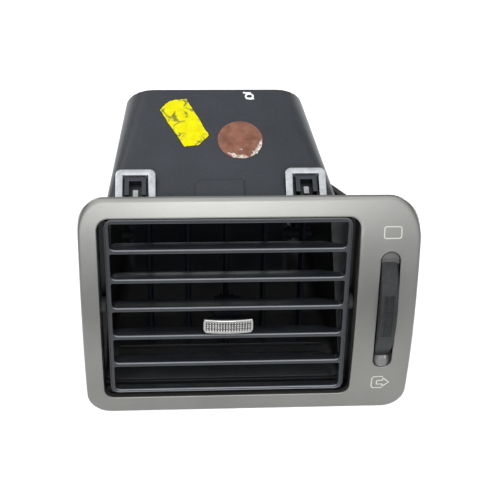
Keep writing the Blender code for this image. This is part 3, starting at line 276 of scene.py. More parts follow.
def paint(name, settings):
    # a broad cloud of noise turns one colour into another, and a fine grain roughens the surface
    # dust lies on what faces up, a painted highlight pales the slats' front crease, and painted shade darkens what
    # is shut in
    made = bpy.data.materials.new(name)
    made.use_nodes = True
    tree = made.node_tree
    shader = tree.nodes["Principled BSDF"]
    coords = tree.nodes.new("ShaderNodeTexCoord").outputs["Object"]
    cloud = node(tree, "ShaderNodeTexNoise", Vector=coords, Scale=settings.get("cloud", 60.0), Detail=4.0)
    grain = node(tree, "ShaderNodeTexNoise", Vector=coords, Scale=settings.get("grain", 2500.0), Detail=2.0)
    color = ramp(tree, cloud.outputs["Fac"], [(0.3, settings["dark"]), (0.7, settings["light"])])
    if "dust" in settings:
        specks = node(tree, "ShaderNodeTexNoise", Vector=coords, Scale=settings["dustScale"], Detail=8.0)
        mask = ramp(tree, specks.outputs["Fac"], [(0.52, (0, 0, 0)), (0.72, (1, 1, 1))])
        geometry = tree.nodes.new("ShaderNodeNewGeometry")
        split = node(tree, "ShaderNodeSeparateXYZ", Vector=geometry.outputs["Normal"])
        upwards = node(tree, "ShaderNodeMapRange", Value=split.outputs["Z"])
        upwards.inputs["From Min"].default_value = 0.1
        amount = tree.nodes.new("ShaderNodeMath")
        amount.operation = "MULTIPLY"
        tree.links.new(mask, amount.inputs[0])
        tree.links.new(upwards.outputs["Result"], amount.inputs[1])
        scaled = tree.nodes.new("ShaderNodeMath")
        scaled.operation = "MULTIPLY"
        tree.links.new(amount.outputs[0], scaled.inputs[0])
        scaled.inputs[1].default_value = settings["dust"]
        mix = tree.nodes.new("ShaderNodeMix")
        mix.data_type = "RGBA"
        tree.links.new(scaled.outputs[0], mix.inputs["Factor"])
        tree.links.new(color, mix.inputs["A"])
        mix.inputs["B"].default_value = (*settings["dustColor"], 1)
        color = mix.outputs["Result"]
    if "paintedHighlight" in settings:
        # painted highlight: the crease along the top of each slat, just behind the face, is coloured pale where
        # light would catch it
        forward = tree.nodes.new("ShaderNodeVectorMath")
        forward.operation = "DOT_PRODUCT"
        tree.links.new(coords, forward.inputs[0])
        forward.inputs[1].default_value = tuple(normalUp)
        front = float(np.dot(facePoint(0, faceHeight / 2, 0), normalUp))
        crease = node(tree, "ShaderNodeMapRange", Value=forward.outputs["Value"])
        crease.inputs["From Min"].default_value = front - 0.0008
        crease.inputs["From Max"].default_value = front - 0.00045
        shape = tree.nodes.new("ShaderNodeNewGeometry")
        tilt = node(tree, "ShaderNodeSeparateXYZ", Vector=shape.outputs["Normal"])
        upper = node(tree, "ShaderNodeMapRange", Value=tilt.outputs["Z"])
        upper.inputs["From Min"].default_value = 0.74
        upper.inputs["From Max"].default_value = 0.90
        both = tree.nodes.new("ShaderNodeMath")
        both.operation = "MULTIPLY"
        tree.links.new(crease.outputs["Result"], both.inputs[0])
        tree.links.new(upper.outputs["Result"], both.inputs[1])
        creaseHighlight = tree.nodes.new("ShaderNodeMix")
        creaseHighlight.data_type = "RGBA"
        tree.links.new(both.outputs[0], creaseHighlight.inputs["Factor"])
        tree.links.new(color, creaseHighlight.inputs["A"])
        creaseHighlight.inputs["B"].default_value = (*settings["paintedHighlight"], 1)
        color = creaseHighlight.outputs["Result"]
    if "paintedShade" in settings:
        # painted shade: inside the duct and deep between pieces the base colour is darkened by ambient occlusion,
        # where shade falls
        nearby = tree.nodes.new("ShaderNodeAmbientOcclusion")
        nearby.samples = 6
        nearby.inputs["Distance"].default_value = settings["paintedShade"]
        clear = settings.get("clear", 0.85)
        shade = ramp(tree, nearby.outputs["AO"], [(clear - 0.5, (0.02, 0.02, 0.02)), (clear, (1, 1, 1))])
        darker = tree.nodes.new("ShaderNodeMix")
        darker.data_type = "RGBA"
        darker.blend_type = "MULTIPLY"
        darker.inputs["Factor"].default_value = 1.0
        tree.links.new(color, darker.inputs["A"])
        tree.links.new(shade, darker.inputs["B"])
        color = darker.outputs["Result"]
    tree.links.new(color, shader.inputs["Base Color"])
    rough = node(tree, "ShaderNodeMapRange", Value=cloud.outputs["Fac"])
    rough.inputs["To Min"].default_value = settings["rough"][0]
    rough.inputs["To Max"].default_value = settings["rough"][1]
    tree.links.new(rough.outputs["Result"], shader.inputs["Roughness"])
    shader.inputs["Metallic"].default_value = settings.get("metal", 0.0)
    shader.inputs["Specular IOR Level"].default_value = settings.get("specular", 0.5)
    bump = node(tree, "ShaderNodeBump", Height=grain.outputs["Fac"])
    bump.inputs["Strength"].default_value = settings.get("bump", 0.1)
    bump.inputs["Distance"].default_value = settings.get("bumpDepth", 0.0001)
    if settings.get("edge"):
        rounded = tree.nodes.new("ShaderNodeBevel")
        rounded.samples = 4
        rounded.inputs["Radius"].default_value = settings["edge"]
        tree.links.new(rounded.outputs["Normal"], bump.inputs["Normal"])
    tree.links.new(bump.outputs["Normal"], shader.inputs["Normal"])
    return made


# in the materials below, the ambient-occlusion reach darkens the colour in hollows and between pieces: painted
# shade
dusty = {"dust": 0.08, "dustScale": 700.0, "dustColor": (0.16, 0.16, 0.15)}
silver = paint("silverLacquer", {"dark": (0.146, 0.143, 0.133), "light": (0.178, 0.175, 0.163),
                                 "rough": (0.26, 0.34), "metal": 0.88, "bump": 0.12, "grain": 4200.0,
                                 "cloud": 22.0})
# the scoops take a darker copy of the silver lacquer: painted shade in the recessed slot ends
scoopSilverShaded = paint("scoopSilverShaded", {"dark": (0.090, 0.088, 0.085), "light": (0.118, 0.116, 0.112),
                                    "rough": (0.2, 0.3), "metal": 0.7, "bump": 0.08, "paintedShade": 0.004})
ductPaint = paint("ductPlastic", {"dark": (0.010, 0.0125, 0.0175), "light": (0.0145, 0.0175, 0.0235),
                                  "rough": (0.34, 0.46), "bump": 0.25, "grain": 1600.0, "edge": 0.0004,
                                  "paintedShade": 0.09, "clear": 0.93, "specular": 0.5, **dusty, "dust": 0.04})
# the grille's pale crease colour is a painted highlight along the slats' top front edges
grillePaint = paint("grillePlastic", {"dark": (0.0085, 0.0098, 0.0125), "light": (0.0125, 0.0140, 0.0172),
                                      "rough": (0.26, 0.34), "bump": 0.10, "grain": 2600.0,
                                      "paintedHighlight": (0.16, 0.167, 0.18), "specular": 0.5, **dusty, "dust": 0.04})
# the inner parts are a much darker copy of the grille plastic: painted shade for the dark inside of the duct
innerPaintShaded = paint("innerPlastic", {"dark": (0.0016, 0.0021, 0.0032), "light": (0.0024, 0.0031, 0.0047),
                                    "rough": (0.6, 0.75), "bump": 0.2, "edge": 0.0002, "specular": 0.04})
wheelPaint = paint("wheelRubber", {"dark": (0.0085, 0.0088, 0.0098), "light": (0.0125, 0.0129, 0.0140),
                                   "rough": (0.42, 0.55), "bump": 0.25, "grain": 3000.0, "paintedShade": 0.0009,
                                   "clear": 0.95, "specular": 0.22, **dusty})
chromePaint = paint("knobChrome", {"dark": (0.30, 0.295, 0.28), "light": (0.38, 0.375, 0.36),
                                   "rough": (0.14, 0.22), "metal": 1.0, "bump": 0.05, "paintedShade": 0.0016,
                                   "clear": 0.99})
zincPaint = paint("clipZinc", {"dark": (0.27, 0.275, 0.28), "light": (0.39, 0.395, 0.40),
                               "rough": (0.22, 0.38), "metal": 0.8, "bump": 0.15, "grain": 1500.0,
                               "cloud": 300.0})
steelPaint = paint("pinSteel", {"dark": (0.32, 0.32, 0.32), "light": (0.45, 0.45, 0.45),
                                "rough": (0.22, 0.35), "metal": 1.0, "edge": 0.0003, "paintedShade": 0.02})
feltPaint = paint("feltWasher", {"dark": (0.02, 0.02, 0.02), "light": (0.04, 0.04, 0.038),
                                 "rough": (0.9, 1.0), "bump": 0.8, "grain": 5000.0})
foamPaint = paint("sealFoam", {"dark": (0.003, 0.0034, 0.0044), "light": (0.006, 0.0066, 0.0080),
                               "rough": (0.9, 1.0), "bump": 0.9, "grain": 3500.0, "specular": 0.1})
# the dampers are likewise near black: painted shade inside the duct
damperPaintShaded = paint("damperPlastic", {"dark": (0.0024, 0.0030, 0.0044), "light": (0.0034, 0.0042, 0.0060),
                                      "rough": (0.6, 0.7), "bump": 0.2, "edge": 0.0003, "specular": 0.1})
inkPaint = paint("iconInk", {"dark": (0.35, 0.335, 0.29), "light": (0.43, 0.415, 0.37), "rough": (0.4, 0.5)})
whitePaint = paint("penPaint", {"dark": (0.60, 0.62, 0.64), "light": (0.8, 0.8, 0.8), "rough": (0.4, 0.5),
                                "cloud": 800.0})
tornPaint = paint("tornPaper", {"dark": (0.22, 0.13, 0.09), "light": (0.62, 0.58, 0.52), "rough": (0.7, 0.8),
                                "cloud": 700.0, "bump": 0.4})
stickerPaint = paint("stickerPaper", {"dark": (0.11, 0.042, 0.024), "light": (0.21, 0.088, 0.054),
                                      "rough": (0.5, 0.62), "cloud": 260.0, "bump": 0.3, "specular": 0.3})
print("materials made")

finishes = {"bezel_silver": silver, "duct_plastic": ductPaint, "grille_plastic": grillePaint,
            "vane_plastic": innerPaintShaded, "wheel_rubber": wheelPaint, "carrier_plastic": innerPaintShaded,
            "knob_chrome": chromePaint, "clip_zinc": zincPaint, "pin_steel": steelPaint, "felt": feltPaint,
            "foam": foamPaint, "damper_plastic": damperPaintShaded}
for part in frame["record"]["subparts"]:
    cad = frame["nodes"][part["node"]]
    cad.data.materials.clear()
    cad.data.materials.append(finishes[part["material_slot"]])
    cad.data.shade_smooth()
    merge = cad.modifiers.new("merge", "WELD")
    merge.merge_threshold = 1e-6
    split = cad.modifiers.new("split", "EDGE_SPLIT")
    split.split_angle = math.radians(32)
print("frame painted")

# Bezel: loops between the opening's outline and the bezel's, at the depth of the curved face
bezelShape = {"chamfer": 0.0006, "round": 0.0010, "wall": 0.0024, "skirt": 0.0018, "back": 0.0026,
              "topBack": 0.0006, "fadeFrom": 0.05, "fadeOver": 0.035, "corner": 0.011, "wideCorner": 0.0148,
              "openCorner": 0.005, "lip": 0.0016, "lipBack": 0.0011}


def openingLoop(grow, depthOf):
    corner = bezelShape["openCorner"] + grow
    loop = roundRect(openLeft - grow, openRight + grow, openLow - grow, openHigh + grow, corner)
    return facePoint(loop[:, 0], loop[:, 1], depthOf(loop[:, 1]))


def edgeLoop(inset, sink, level=None):
    # the bezel's outline is drawn level, so its walls run straight back
    half = (bezelHigh[0] - bezelLow[0]) / 2
    corners = np.array([bezelShape["wideCorner"]] + [bezelShape["corner"]] * 3) - inset
    loop = roundRect(-half + inset, half - inset, inset, bezelHigh[2] - inset, corners)
    if level is None:
        up = upOf(loop[:, 1], sink)
        return facePoint(loop[:, 0], up, sink - bulge(up))
    # along its top the skirt is shallow
    fade = np.clip((loop[:, 1] - bezelHigh[2] + bezelShape["fadeFrom"]) / bezelShape["fadeOver"], 0, 1)
    level = level + (bezelShape["topBack"] - level) * fade * fade * (3 - 2 * fade)
    return facePoint(loop[:, 0], (loop[:, 1] + level * math.sin(lean)) / math.cos(lean), level)


def blend(a, b, share, sink):
    # between two loops on the face: x and the height up the face are mixed, and the depth follows the bulge
    mixed = a + (b - a) * share
    along = (mixed[:, 1] - faceY) * math.sin(lean) + mixed[:, 2] * math.cos(lean)
    return facePoint(mixed[:, 0], along, sink - bulge(along))


shape = bezelShape
loops = [openingLoop(0, lambda up: np.full_like(up, shape["lipBack"]))]
for turn in np.linspace(0, math.pi / 2, 5):
    grow = shape["chamfer"] * (1 - math.cos(turn))
    sink = shape["chamfer"] * (1 - math.sin(turn))
    loops.append(openingLoop(grow, lambda up, s=sink: s - bulge(up)))
inner, outer = loops[-1], edgeLoop(shape["round"], 0)
loops += [blend(inner, outer, share, 0) for share in np.linspace(0, 1, 22)[1:]]
for turn in np.linspace(0, math.pi / 2, 6)[1:]:
    loops.append(edgeLoop(shape["round"] * (1 - math.sin(turn)), shape["round"] * (1 - math.cos(turn))))
loops.append(edgeLoop(0, 0, shape["back"]))
loops.append(edgeLoop(shape["skirt"], 0, shape["back"]))
backOuter = edgeLoop(shape["skirt"], shape["wall"])
backInner = openingLoop(shape["lip"], lambda up: shape["wall"] - bulge(up))
loops += [blend(backOuter, backInner, share, shape["wall"]) for share in np.linspace(0, 1, 8)]
loops.append(openingLoop(shape["lip"], lambda up: np.full_like(up, shape["lipBack"])))
bezel = makeMesh("bezelSkin", [ringShell(loops)], silver, 35)
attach(bezel, "housing")
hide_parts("bezel")

wheelLow = np.array(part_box("thumb_wheel")[0])
axleLow, axleHigh = (np.array(corner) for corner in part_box("wheel_axle"))
slotShape = {"fromEdge": 0.013, "half": 0.00475, "low": 0.0257, "high": 0.0873, "rimWide": 0.0007,
             "rimHigh": 0.00028, "rimSink": 0.00022, "lowScoop": (0.0092, 0.0042),
             "highScoop": (0.0068, 0.0022)}
wheelX = bezelHigh[0] - slotShape["fromEdge"]
wheelY, wheelZ = (axleLow[1] + axleHigh[1]) / 2, (axleLow[2] + axleHigh[2]) / 2
slotLoop = roundRect(wheelX - slotShape["half"], wheelX + slotShape["half"], slotShape["low"],
                     slotShape["high"], slotShape["half"] - 1e-5, 16, 24)
cutterLoops = [facePoint(slotLoop[:, 0], slotLoop[:, 1], depth) for depth in (-0.02, 0.02)]
slotCutter = makeMesh("slotCutter", [tubeShell(cutterLoops)], silver, 180)
slotCutter.data.shade_flat()
slotCutter.hide_render = True
slotCutter.hide_viewport = True
opened = bezel.modifiers.new("slot", "BOOLEAN")
opened.operation = "DIFFERENCE"
opened.object = slotCutter
opened.solver = "EXACT"


def faceNormal(up):
    # square to the arc of the face
    step = 1e-5
    slope = (bulge(np.asarray(up) + step) - bulge(np.asarray(up) - step)) / (2 * step)
    along = np.array([0, math.sin(lean), math.cos(lean)])
    made = normalUp - slope[..., None] * along
    return made / np.linalg.norm(made, axis=-1, keepdims=True)


rimPath = facePoint(slotLoop[:, 0], slotLoop[:, 1], slotShape["rimSink"] - bulge(slotLoop[:, 1]))
rimStrip = ribbonShell(rimPath, faceNormal(slotLoop[:, 1]), slotShape["rimWide"], slotShape["rimHigh"], True)
slotRim = makeMesh("slotRim", [rimStrip], silver)
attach(slotRim, "housing")


def scoopShell(end, toward, length, deepest):
    # across the slot the floor is a flat-bottomed bowl, and it deepens toward the wheel
    across = np.linspace(-1, 1, 41)[None, :]
    v = np.linspace(0.02, 1, 40)[:, None]
    up = end + toward * v * length
    radius = slotShape["half"]
    fromEnd = np.minimum(v * length, radius)
    half = np.sqrt(np.maximum(radius ** 2 - (radius - fromEnd) ** 2, 0)) - 1e-5
    sink = deepest * (1 - (1 - v) ** 2.2) * (1 - np.abs(across) ** 5) + 0.0003
    top = facePoint(wheelX + half * across, up + 0 * across, sink - bulge(up))
    base = facePoint(wheelX + half * across, up + 0 * across, sink + 0.0007 - bulge(up))
    return slabShell(top, base)


scoops = [scoopShell(slotShape["low"], 1, *slotShape["lowScoop"]),
          scoopShell(slotShape["high"], -1, *slotShape["highScoop"])]
scoop = makeMesh("slotScoops", scoops, scoopSilverShaded, 60)
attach(scoop, "housing")
print("bezel made")


# Icons: thin printed outlines that follow the face
iconShape = {"shift": 0.0003, "line": 0.00052, "thick": 0.00005, "frameHalf": 0.0038, "frameLow": 0.0931,
             "frameHigh": 0.0984, "frameCorner": 0.0009}


def iconShell(path, closed):
    path = np.asarray(path, float)
    steps = []
    ends = np.concatenate([path, path[:1]]) if closed else path
    for a, b in zip(ends, ends[1:]):
        t = np.linspace(0, 1, 5)[:-1, None]
        steps.append(a + (b - a) * t)
    steps = np.concatenate(steps + ([] if closed else [path[-1:]]))
    points = facePoint(steps[:, 0], steps[:, 1], -bulge(steps[:, 1]))
    return ribbonShell(points, faceNormal(steps[:, 1]), iconShape["line"], iconShape["thick"], closed, 4)


iconX = wheelX + iconShape["shift"]
frameIcon = roundRect(iconX - iconShape["frameHalf"], iconX + iconShape["frameHalf"], iconShape["frameLow"],
                      iconShape["frameHigh"], iconShape["frameCorner"], 4, 3)
boxCorners = [(0.0012, 0.0201), (-0.0032, 0.0201), (-0.0040, 0.0190), (-0.0040, 0.0141), (-0.0032, 0.0130),
              (0.0012, 0.0130)]
arrowCorners = [(-0.0016, 0.0177), (0.0012, 0.0177), (0.0012, 0.0192), (0.0042, 0.0165), (0.0012, 0.0138),
                (0.0012, 0.0153), (-0.0016, 0.0153)]
boxIcon, arrow = ([(iconX + x, up) for x, up in corners] for corners in (boxCorners, arrowCorners))
icons = makeMesh("wheelIcons", [iconShell(frameIcon, True), iconShell(boxIcon, False),
                                iconShell(arrow, True)], inkPaint)
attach(icons, "housing")
print("icons made")

# Grille: each opening has a frame between its own outline and its cell; a blade stands behind each bar
grilleShape = {"slats": 5, "thick": 0.0020, "side": 0.0023, "topBar": 0.00215, "lowBar": 0.0017,
               "deep": 0.004, "round": 0.00045, "gapSide": 0.0026, "gapEnd": 0.0012, "rim": 0.0009,
               "corner": 0.004, "holeCorners": (0.0008, 0.0008, 0.0024, 0.0024), "bladeFront": 0.003,
               "bladeHalf": 0.00085, "bladeTaper": 0.0004, "taperOver": 0.006,
               "leftBlade": ((0.0012, 0.0060), (0.0045, 0.0088)),
               "rightBlade": ((0.0125, 0.0088), (0.0012, 0.0045))}
gridLeft, gridRight = openLeft + grilleShape["gapSide"], openRight - grilleShape["gapSide"]
gridLow, gridHigh = openLow + grilleShape["gapEnd"], openHigh - grilleShape["gapEnd"]
firstLow = gridLow + grilleShape["lowBar"]
pitch = (gridHigh - grilleShape["topBar"] + grilleShape["thick"] - firstLow) / (grilleShape["slats"] + 1)
left, right = gridLeft + grilleShape["side"], gridRight - grilleShape["side"]
rim = grilleShape["rim"]


def holeLoop(lowEdge, highEdge, grow):
    corners = np.array(grilleShape["holeCorners"]) + grow
    return roundRect(left - grow, right + grow, lowEdge - grow, highEdge + grow, corners, 6, 10)


shells = []
for k in range(grilleShape["slats"] + 1):
    lowEdge = firstLow + k * pitch
    highEdge = lowEdge + pitch - grilleShape["thick"]
    cellLow = gridLow + rim if k == 0 else lowEdge - grilleShape["thick"] / 2
    cellHigh = gridHigh - rim if k == grilleShape["slats"] else highEdge + grilleShape["thick"] / 2
    cell = roundRect(gridLeft + rim, gridRight - rim, cellLow, cellHigh, 0.00002, 6, 10)
    loops = [facePoint(*holeLoop(lowEdge, highEdge, 0).T, grilleShape["deep"])]
    for turn in np.linspace(0, math.pi / 2, 4):
        edge = holeLoop(lowEdge, highEdge, grilleShape["round"] * (1 - math.cos(turn)))
        loops.append(facePoint(*edge.T, grilleShape["round"] * (1 - math.sin(turn))))
    loops.append(facePoint(*holeLoop(lowEdge, highEdge, grilleShape["round"] * 1.3).T, 0.0))
    loops += [facePoint(*cell.T, 0.0), facePoint(*cell.T, grilleShape["deep"])]
    shells.append(ringShell(loops))
loops = []
for turn in np.arange(24) * 2 * math.pi / 24:
    # a rounded bar: a squared circle as its section
    across = abs(math.cos(turn)) ** 0.5 * (1 if math.cos(turn) >= 0 else -1)
    deep = abs(math.sin(turn)) ** 0.5 * (1 if math.sin(turn) >= 0 else -1)
    shift = rim / 2 * (1 + across)
    edge = roundRect(gridLeft + shift, gridRight - shift, gridLow + shift, gridHigh - shift,
                     grilleShape["corner"] - shift, 8, 10)
    loops.append(facePoint(*edge.T, grilleShape["deep"] / 2 * (1 + deep) - 0.0001))
shells.append(ringShell(loops))
stations = [(gridLeft + inset, back) for inset, back in grilleShape["leftBlade"]]
stations += [(gridRight - inset, back) for inset, back in grilleShape["rightBlade"]]
bladeFront = grilleShape["bladeFront"]
for k in range(1, grilleShape["slats"] + 1):
    top = firstLow + k * pitch
    middle = top - grilleShape["thick"] / 2
    loops = []
    for x, back in stations:
        turns = np.arange(20) * 2 * math.pi / 20
        deep = bladeFront + (back - bladeFront) * (1 - np.cos(turns)) / 2
        thinner = grilleShape["bladeTaper"] * (deep - bladeFront) / grilleShape["taperOver"]
        half = grilleShape["bladeHalf"] - thinner
        squared = np.sin(turns) / np.maximum(np.abs(np.sin(turns)) ** 0.6, 1e-3)
        loops.append(facePoint(x, middle + half * squared, deep))
    shells.append(tubeShell(loops))
grille = makeMesh("grilleSkin", shells, grillePaint, 50)
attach(grille, "grille")
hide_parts("grille")
print("grille made")

# Knob: a bowed cap with a raised rim round a field of small pyramids
knobShape = {"waffleX": 16, "waffleZ": 4, "waffleWide": 0.0202, "waffleTall": 0.0048, "corner": 0.0022,
             "lowCorner": 1.0, "highCorner": 0.35, "edge": 0.0007, "recess": 0.00064, "bump": 0.00054,
             "halfTall": 0.00365, "rimWide": 0.00125, "rimSlope": 0.0003, "back": -0.0008, "deep": 0.0032,
             "bow": 0.0012, "backWide": 0.97}
knobBox = [np.array(corner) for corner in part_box("knob_cap")]
knobWide = knobBox[1][0] - knobBox[0][0]
knobX = (knobBox[0][0] + knobBox[1][0]) / 2
knobUp = firstLow + 2.5 * pitch - grilleShape["thick"] / 2
halfTall, corner = knobShape["halfTall"], knobShape["corner"]
u = np.linspace(-1, 1, 260)[None, :]
v = np.linspace(-1, 1, 90)[:, None]
z = v * halfTall
overCorner = np.maximum(np.abs(z) - (halfTall - corner), 0)
cornerShare = np.where(z < 0, knobShape["lowCorner"], knobShape["highCorner"])
halfWide = knobWide / 2 - cornerShare * (corner - np.sqrt(corner ** 2 - overCorner ** 2))
x = u * halfWide
fromEdge = np.minimum(halfWide - np.abs(x), halfTall - np.abs(z))
roll = 1 - np.clip(fromEdge / knobShape["edge"], 0, 1)
panel = np.clip((fromEdge - knobShape["rimWide"]) / knobShape["rimSlope"], 0, 1)
waffleAcross = np.abs(np.sin(math.pi * knobShape["waffleX"] * x / knobShape["waffleWide"]))
waffle = waffleAcross * np.abs(np.sin(math.pi * knobShape["waffleZ"] * z / knobShape["waffleTall"]))
lift = knobShape["recess"] * panel - knobShape["bump"] * panel * np.sqrt(waffle)
knobFront = knobShape["back"] - knobShape["deep"]
bowed = knobFront + knobShape["bow"] * (x / (knobWide / 2)) ** 2
depth = bowed + knobShape["edge"] * (1 - np.sqrt(1 - roll ** 2)) + lift
frontSheet = facePoint(knobX + x, knobUp + z, depth)
backSheet = facePoint(knobX + x * knobShape["backWide"], knobUp + z, knobShape["back"] + 0 * depth)
knob = makeMesh("knobSkin", [slabShell(frontSheet, backSheet)], chromePaint, 70)
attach(knob, "knob")
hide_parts("knob_cap")
print("knob made")

# Thumbwheel: a sector of a wheel whose tread carries rows of small dots
wheelShape = {"radius": 0.040, "half": 0.00415, "sector": math.radians(59.5), "edge": 0.0011, "end": 0.0008,
              "dots": 0.0004, "columns": 6, "rows": 17, "fieldWide": 0.0050, "fieldTurn": math.radians(16),
              "inner": 0.034, "webShort": 0.006, "webInner": 0.0035, "webOuter": 0.0345, "webHalf": 0.0015,
              "hubRadius": 0.007, "hubEdge": 0.0004, "pinRadius": 0.002}
turns = np.linspace(-1, 1, 620)[:, None] * wheelShape["sector"]
across = np.linspace(-1, 1, 84)[None, :]
side = across * wheelShape["half"]
edgeOver = np.maximum(np.abs(side) - (wheelShape["half"] - wheelShape["edge"]), 0)
fall = wheelShape["edge"] - np.sqrt(wheelShape["edge"] ** 2 - edgeOver ** 2)
end = wheelShape["end"]
fromMiddle = np.abs(turns) * wheelShape["radius"]
endOver = np.maximum(fromMiddle - wheelShape["sector"] * wheelShape["radius"] + end, 0)
fall = fall + (end - np.sqrt(end ** 2 - np.minimum(endOver, end) ** 2))
inField = (np.abs(side) < wheelShape["fieldWide"] / 2) & (np.abs(turns) < wheelShape["fieldTurn"])
dotX = np.sin(math.pi * wheelShape["columns"] * (side / wheelShape["fieldWide"] + 0.5))
dotY = np.sin(math.pi * wheelShape["rows"] * (turns / wheelShape["fieldTurn"] + 1) / 2)
dots = inField * np.sqrt(np.abs(dotX * dotY)) * wheelShape["dots"]
radius = wheelShape["radius"] - wheelShape["dots"] - fall + dots
facing = math.pi - lean  # in the YZ plane, toward the face


def wheelPoint(x, turn, radius):
    x, turn, radius = np.broadcast_arrays(x, turn, radius)
    y = wheelY + radius * np.cos(facing + turn)
    z = wheelZ + radius * np.sin(facing + turn)
    return np.stack([wheelX + x, y, z], axis=-1)


shells = [slabShell(wheelPoint(side, turns, radius), wheelPoint(side, turns, wheelShape["inner"]))]
webTurns = np.linspace(-1, 1, 60)[:, None] * (wheelShape["sector"] - wheelShape["webShort"])
webRadius = np.linspace(wheelShape["webInner"], wheelShape["webOuter"], 20)[None, :]
webHalf = wheelShape["webHalf"]
shells.append(slabShell(wheelPoint(-webHalf, webTurns, webRadius), wheelPoint(webHalf, webTurns, webRadius)))
hub = np.array([wheelX, wheelY, wheelZ])
hubHalf = np.array([wheelShape["half"], 0, 0])
shells.append(rodShell(hub - hubHalf, hub + hubHalf, wheelShape["hubRadius"], wheelShape["hubEdge"]))
link = next(joint for joint in frame["joints"] if joint["name"] == "link_swing")
pinPlace = np.array([wheelX, link["pos_m"][1], link["pos_m"][2]])
shells.append(rodShell([wheelLow[0], *pinPlace[1:]], pinPlace, wheelShape["pinRadius"]))
wheel = makeMesh("wheelSkin", shells, wheelPaint, 60)
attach(wheel, "wheel")
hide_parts("thumb_wheel")
print("wheel made")


# Spring clips: sheet cut as two legs and a crossbar, lifted toward the back, with a lip turned down
clipShape = {"leg": 0.0031, "bar": 0.0026, "sheet": 0.0007, "lift": math.radians(11), "corner": 0.0025,
             "slack": 0.0001, "inset": 0.00005, "above": 0.0003, "lipGap": 0.0002, "lipForward": 0.0001,
             "lipBow": 0.0004, "lipThick": 0.0006, "tabHalf": 0.0011, "tabFront": 0.0009, "tabBack": 0.0044,
             "tabCorner": 0.0004, "tabRise": 0.0012, "tabThick": 0.0004}


def clipPiece(side):
    box = [np.array(corner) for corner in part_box("spring_clip_" + side)]
    wide = box[1][0] - box[0][0]
    deep = (box[1][1] - box[0][1]) / math.cos(clipShape["lift"]) - clipShape["slack"]
    leg, corner, sheet = clipShape["leg"], clipShape["corner"], clipShape["sheet"]
    straight = np.linspace(0, 1, 12)
    outer = [(wide, t * (deep - corner)) for t in straight]
    a = np.linspace(0, math.pi / 2, 8)
    outer += [(wide - corner + corner * math.cos(t), deep - corner + corner * math.sin(t)) for t in a[1:]]
    outer += [(corner + (wide - 2 * corner) * (1 - t), deep) for t in straight[1:-1]]
    outer += [(corner - corner * math.sin(t), deep - corner + corner * math.cos(t)) for t in a]
    outer += [(0, (1 - t) * (deep - corner)) for t in straight[1:]]
    outer = np.array(outer)
    innerDeep = deep - clipShape["bar"]
    inner = np.stack([np.clip(outer[:, 0], leg, wide - leg), np.clip(outer[:, 1], 0, innerDeep)], axis=-1)
    inner[:, 0] = np.where(outer[:, 0] > wide - leg, wide - leg, inner[:, 0])
    loops = []
    for t in np.arange(16) * 2 * math.pi / 16:
        c, s = math.cos(t), math.sin(t)
        c, s = np.sign(c) * abs(c) ** 0.4, np.sign(s) * abs(s) ** 0.4
        flat = inner + (outer - inner) * (1 + c) / 2
        height = sheet / 2 * (1 + s)
        y = box[0][1] + clipShape["inset"] + flat[:, 1] * math.cos(clipShape["lift"])
        z = ductTop + clipShape["above"] + height + flat[:, 1] * math.sin(clipShape["lift"])
        loops.append(np.stack([box[0][0] + flat[:, 0], y, z], axis=-1))
    shells = [tubeShell(np.array(loops).transpose(1, 0, 2))]
    lipY = box[0][1] + innerDeep * math.cos(clipShape["lift"])
    lipTop = ductTop + clipShape["above"] + innerDeep * math.sin(clipShape["lift"]) + sheet / 2
    gap = clipShape["lipGap"]
    across = np.linspace(box[0][0] + leg + gap, box[1][0] - leg - gap, 12)[None, :]
    down = np.linspace(0, 1, 8)[:, None]
    z = lipTop - down * (lipTop - ductTop - clipShape["above"])
    y = lipY - clipShape["lipForward"] - clipShape["lipBow"] * np.sin(down * math.pi / 2)
    front = np.stack(np.broadcast_arrays(across, y, z), axis=-1)
    shells.append(slabShell(front, front + np.array([0, clipShape["lipThick"], 0])))
    middle = (box[0][0] + box[1][0]) / 2
    tab = roundRect(middle - clipShape["tabHalf"], middle + clipShape["tabHalf"],
                    box[0][1] + clipShape["tabFront"], box[0][1] + clipShape["tabBack"],
                    clipShape["tabCorner"], 4, 4)
    tabTop = ductTop + clipShape["tabRise"]
    shells.append(discShell(tab, lambda x, y: tabTop + 0 * x, clipShape["tabThick"], 4))
    clip = makeMesh("clipSkin_" + side, shells, zincPaint, 50)
    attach(clip, "housing")
    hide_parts("spring_clip_" + side)


clipPiece("left")
clipPiece("right")
print("clips made")

# Papers and paint on the duct's top
paperShape = {"labelLift": 0.00028, "labelThick": 0.0002, "labelRagged": 0.00012, "wave": 0.00006,
              "fold": 0.00016, "foldWide": 0.0006, "stickerRadius": 0.0101, "stickerLift": 0.00020,
              "stickerThick": 0.00015, "tearLift": 0.00026, "tearThick": 0.00008, "tearRagged": 0.00016,
              "markLift": 0.0001, "markWide": 0.0008, "markHigh": 0.00012, "markInset": 0.0006}
rng = np.random.default_rng(4)


def outline(corners, steps, ragged):
    # straight sides between the corners, each point moved a little
    corners = np.asarray(corners, float)
    parts = []
    for a, b in zip(corners, np.roll(corners, -1, axis=0)):
        t = np.linspace(0, 1, steps + 1)[:-1, None]
        parts.append(a + (b - a) * t)
    made = np.concatenate(parts)
    return made + rng.normal(0, ragged, made.shape)


def onDuct(corners):
    # millimetres, counted back from the bezel's top edge
    return [(x / 1000, edgeY + y / 1000) for x, y in corners]


labelCorners = onDuct([(-39.2, 50.0), (-34.9, 55.1), (-27.3, 56.2), (-17.4, 35.7), (-22.4, 30.5),
                       (-28.8, 30.0)])


def labelTop(x, y):
    # shallow waves from two crossing sines, and a fold across
    wave = np.sin(x * 900 + y * 400) * np.sin(y * 700 - x * 350)
    fold = np.exp(-((y - edgeY - 0.0425 - 0.25 * (x + 0.028)) / paperShape["foldWide"]) ** 2)
    return ductTop + paperShape["labelLift"] + paperShape["wave"] * wave + paperShape["fold"] * fold


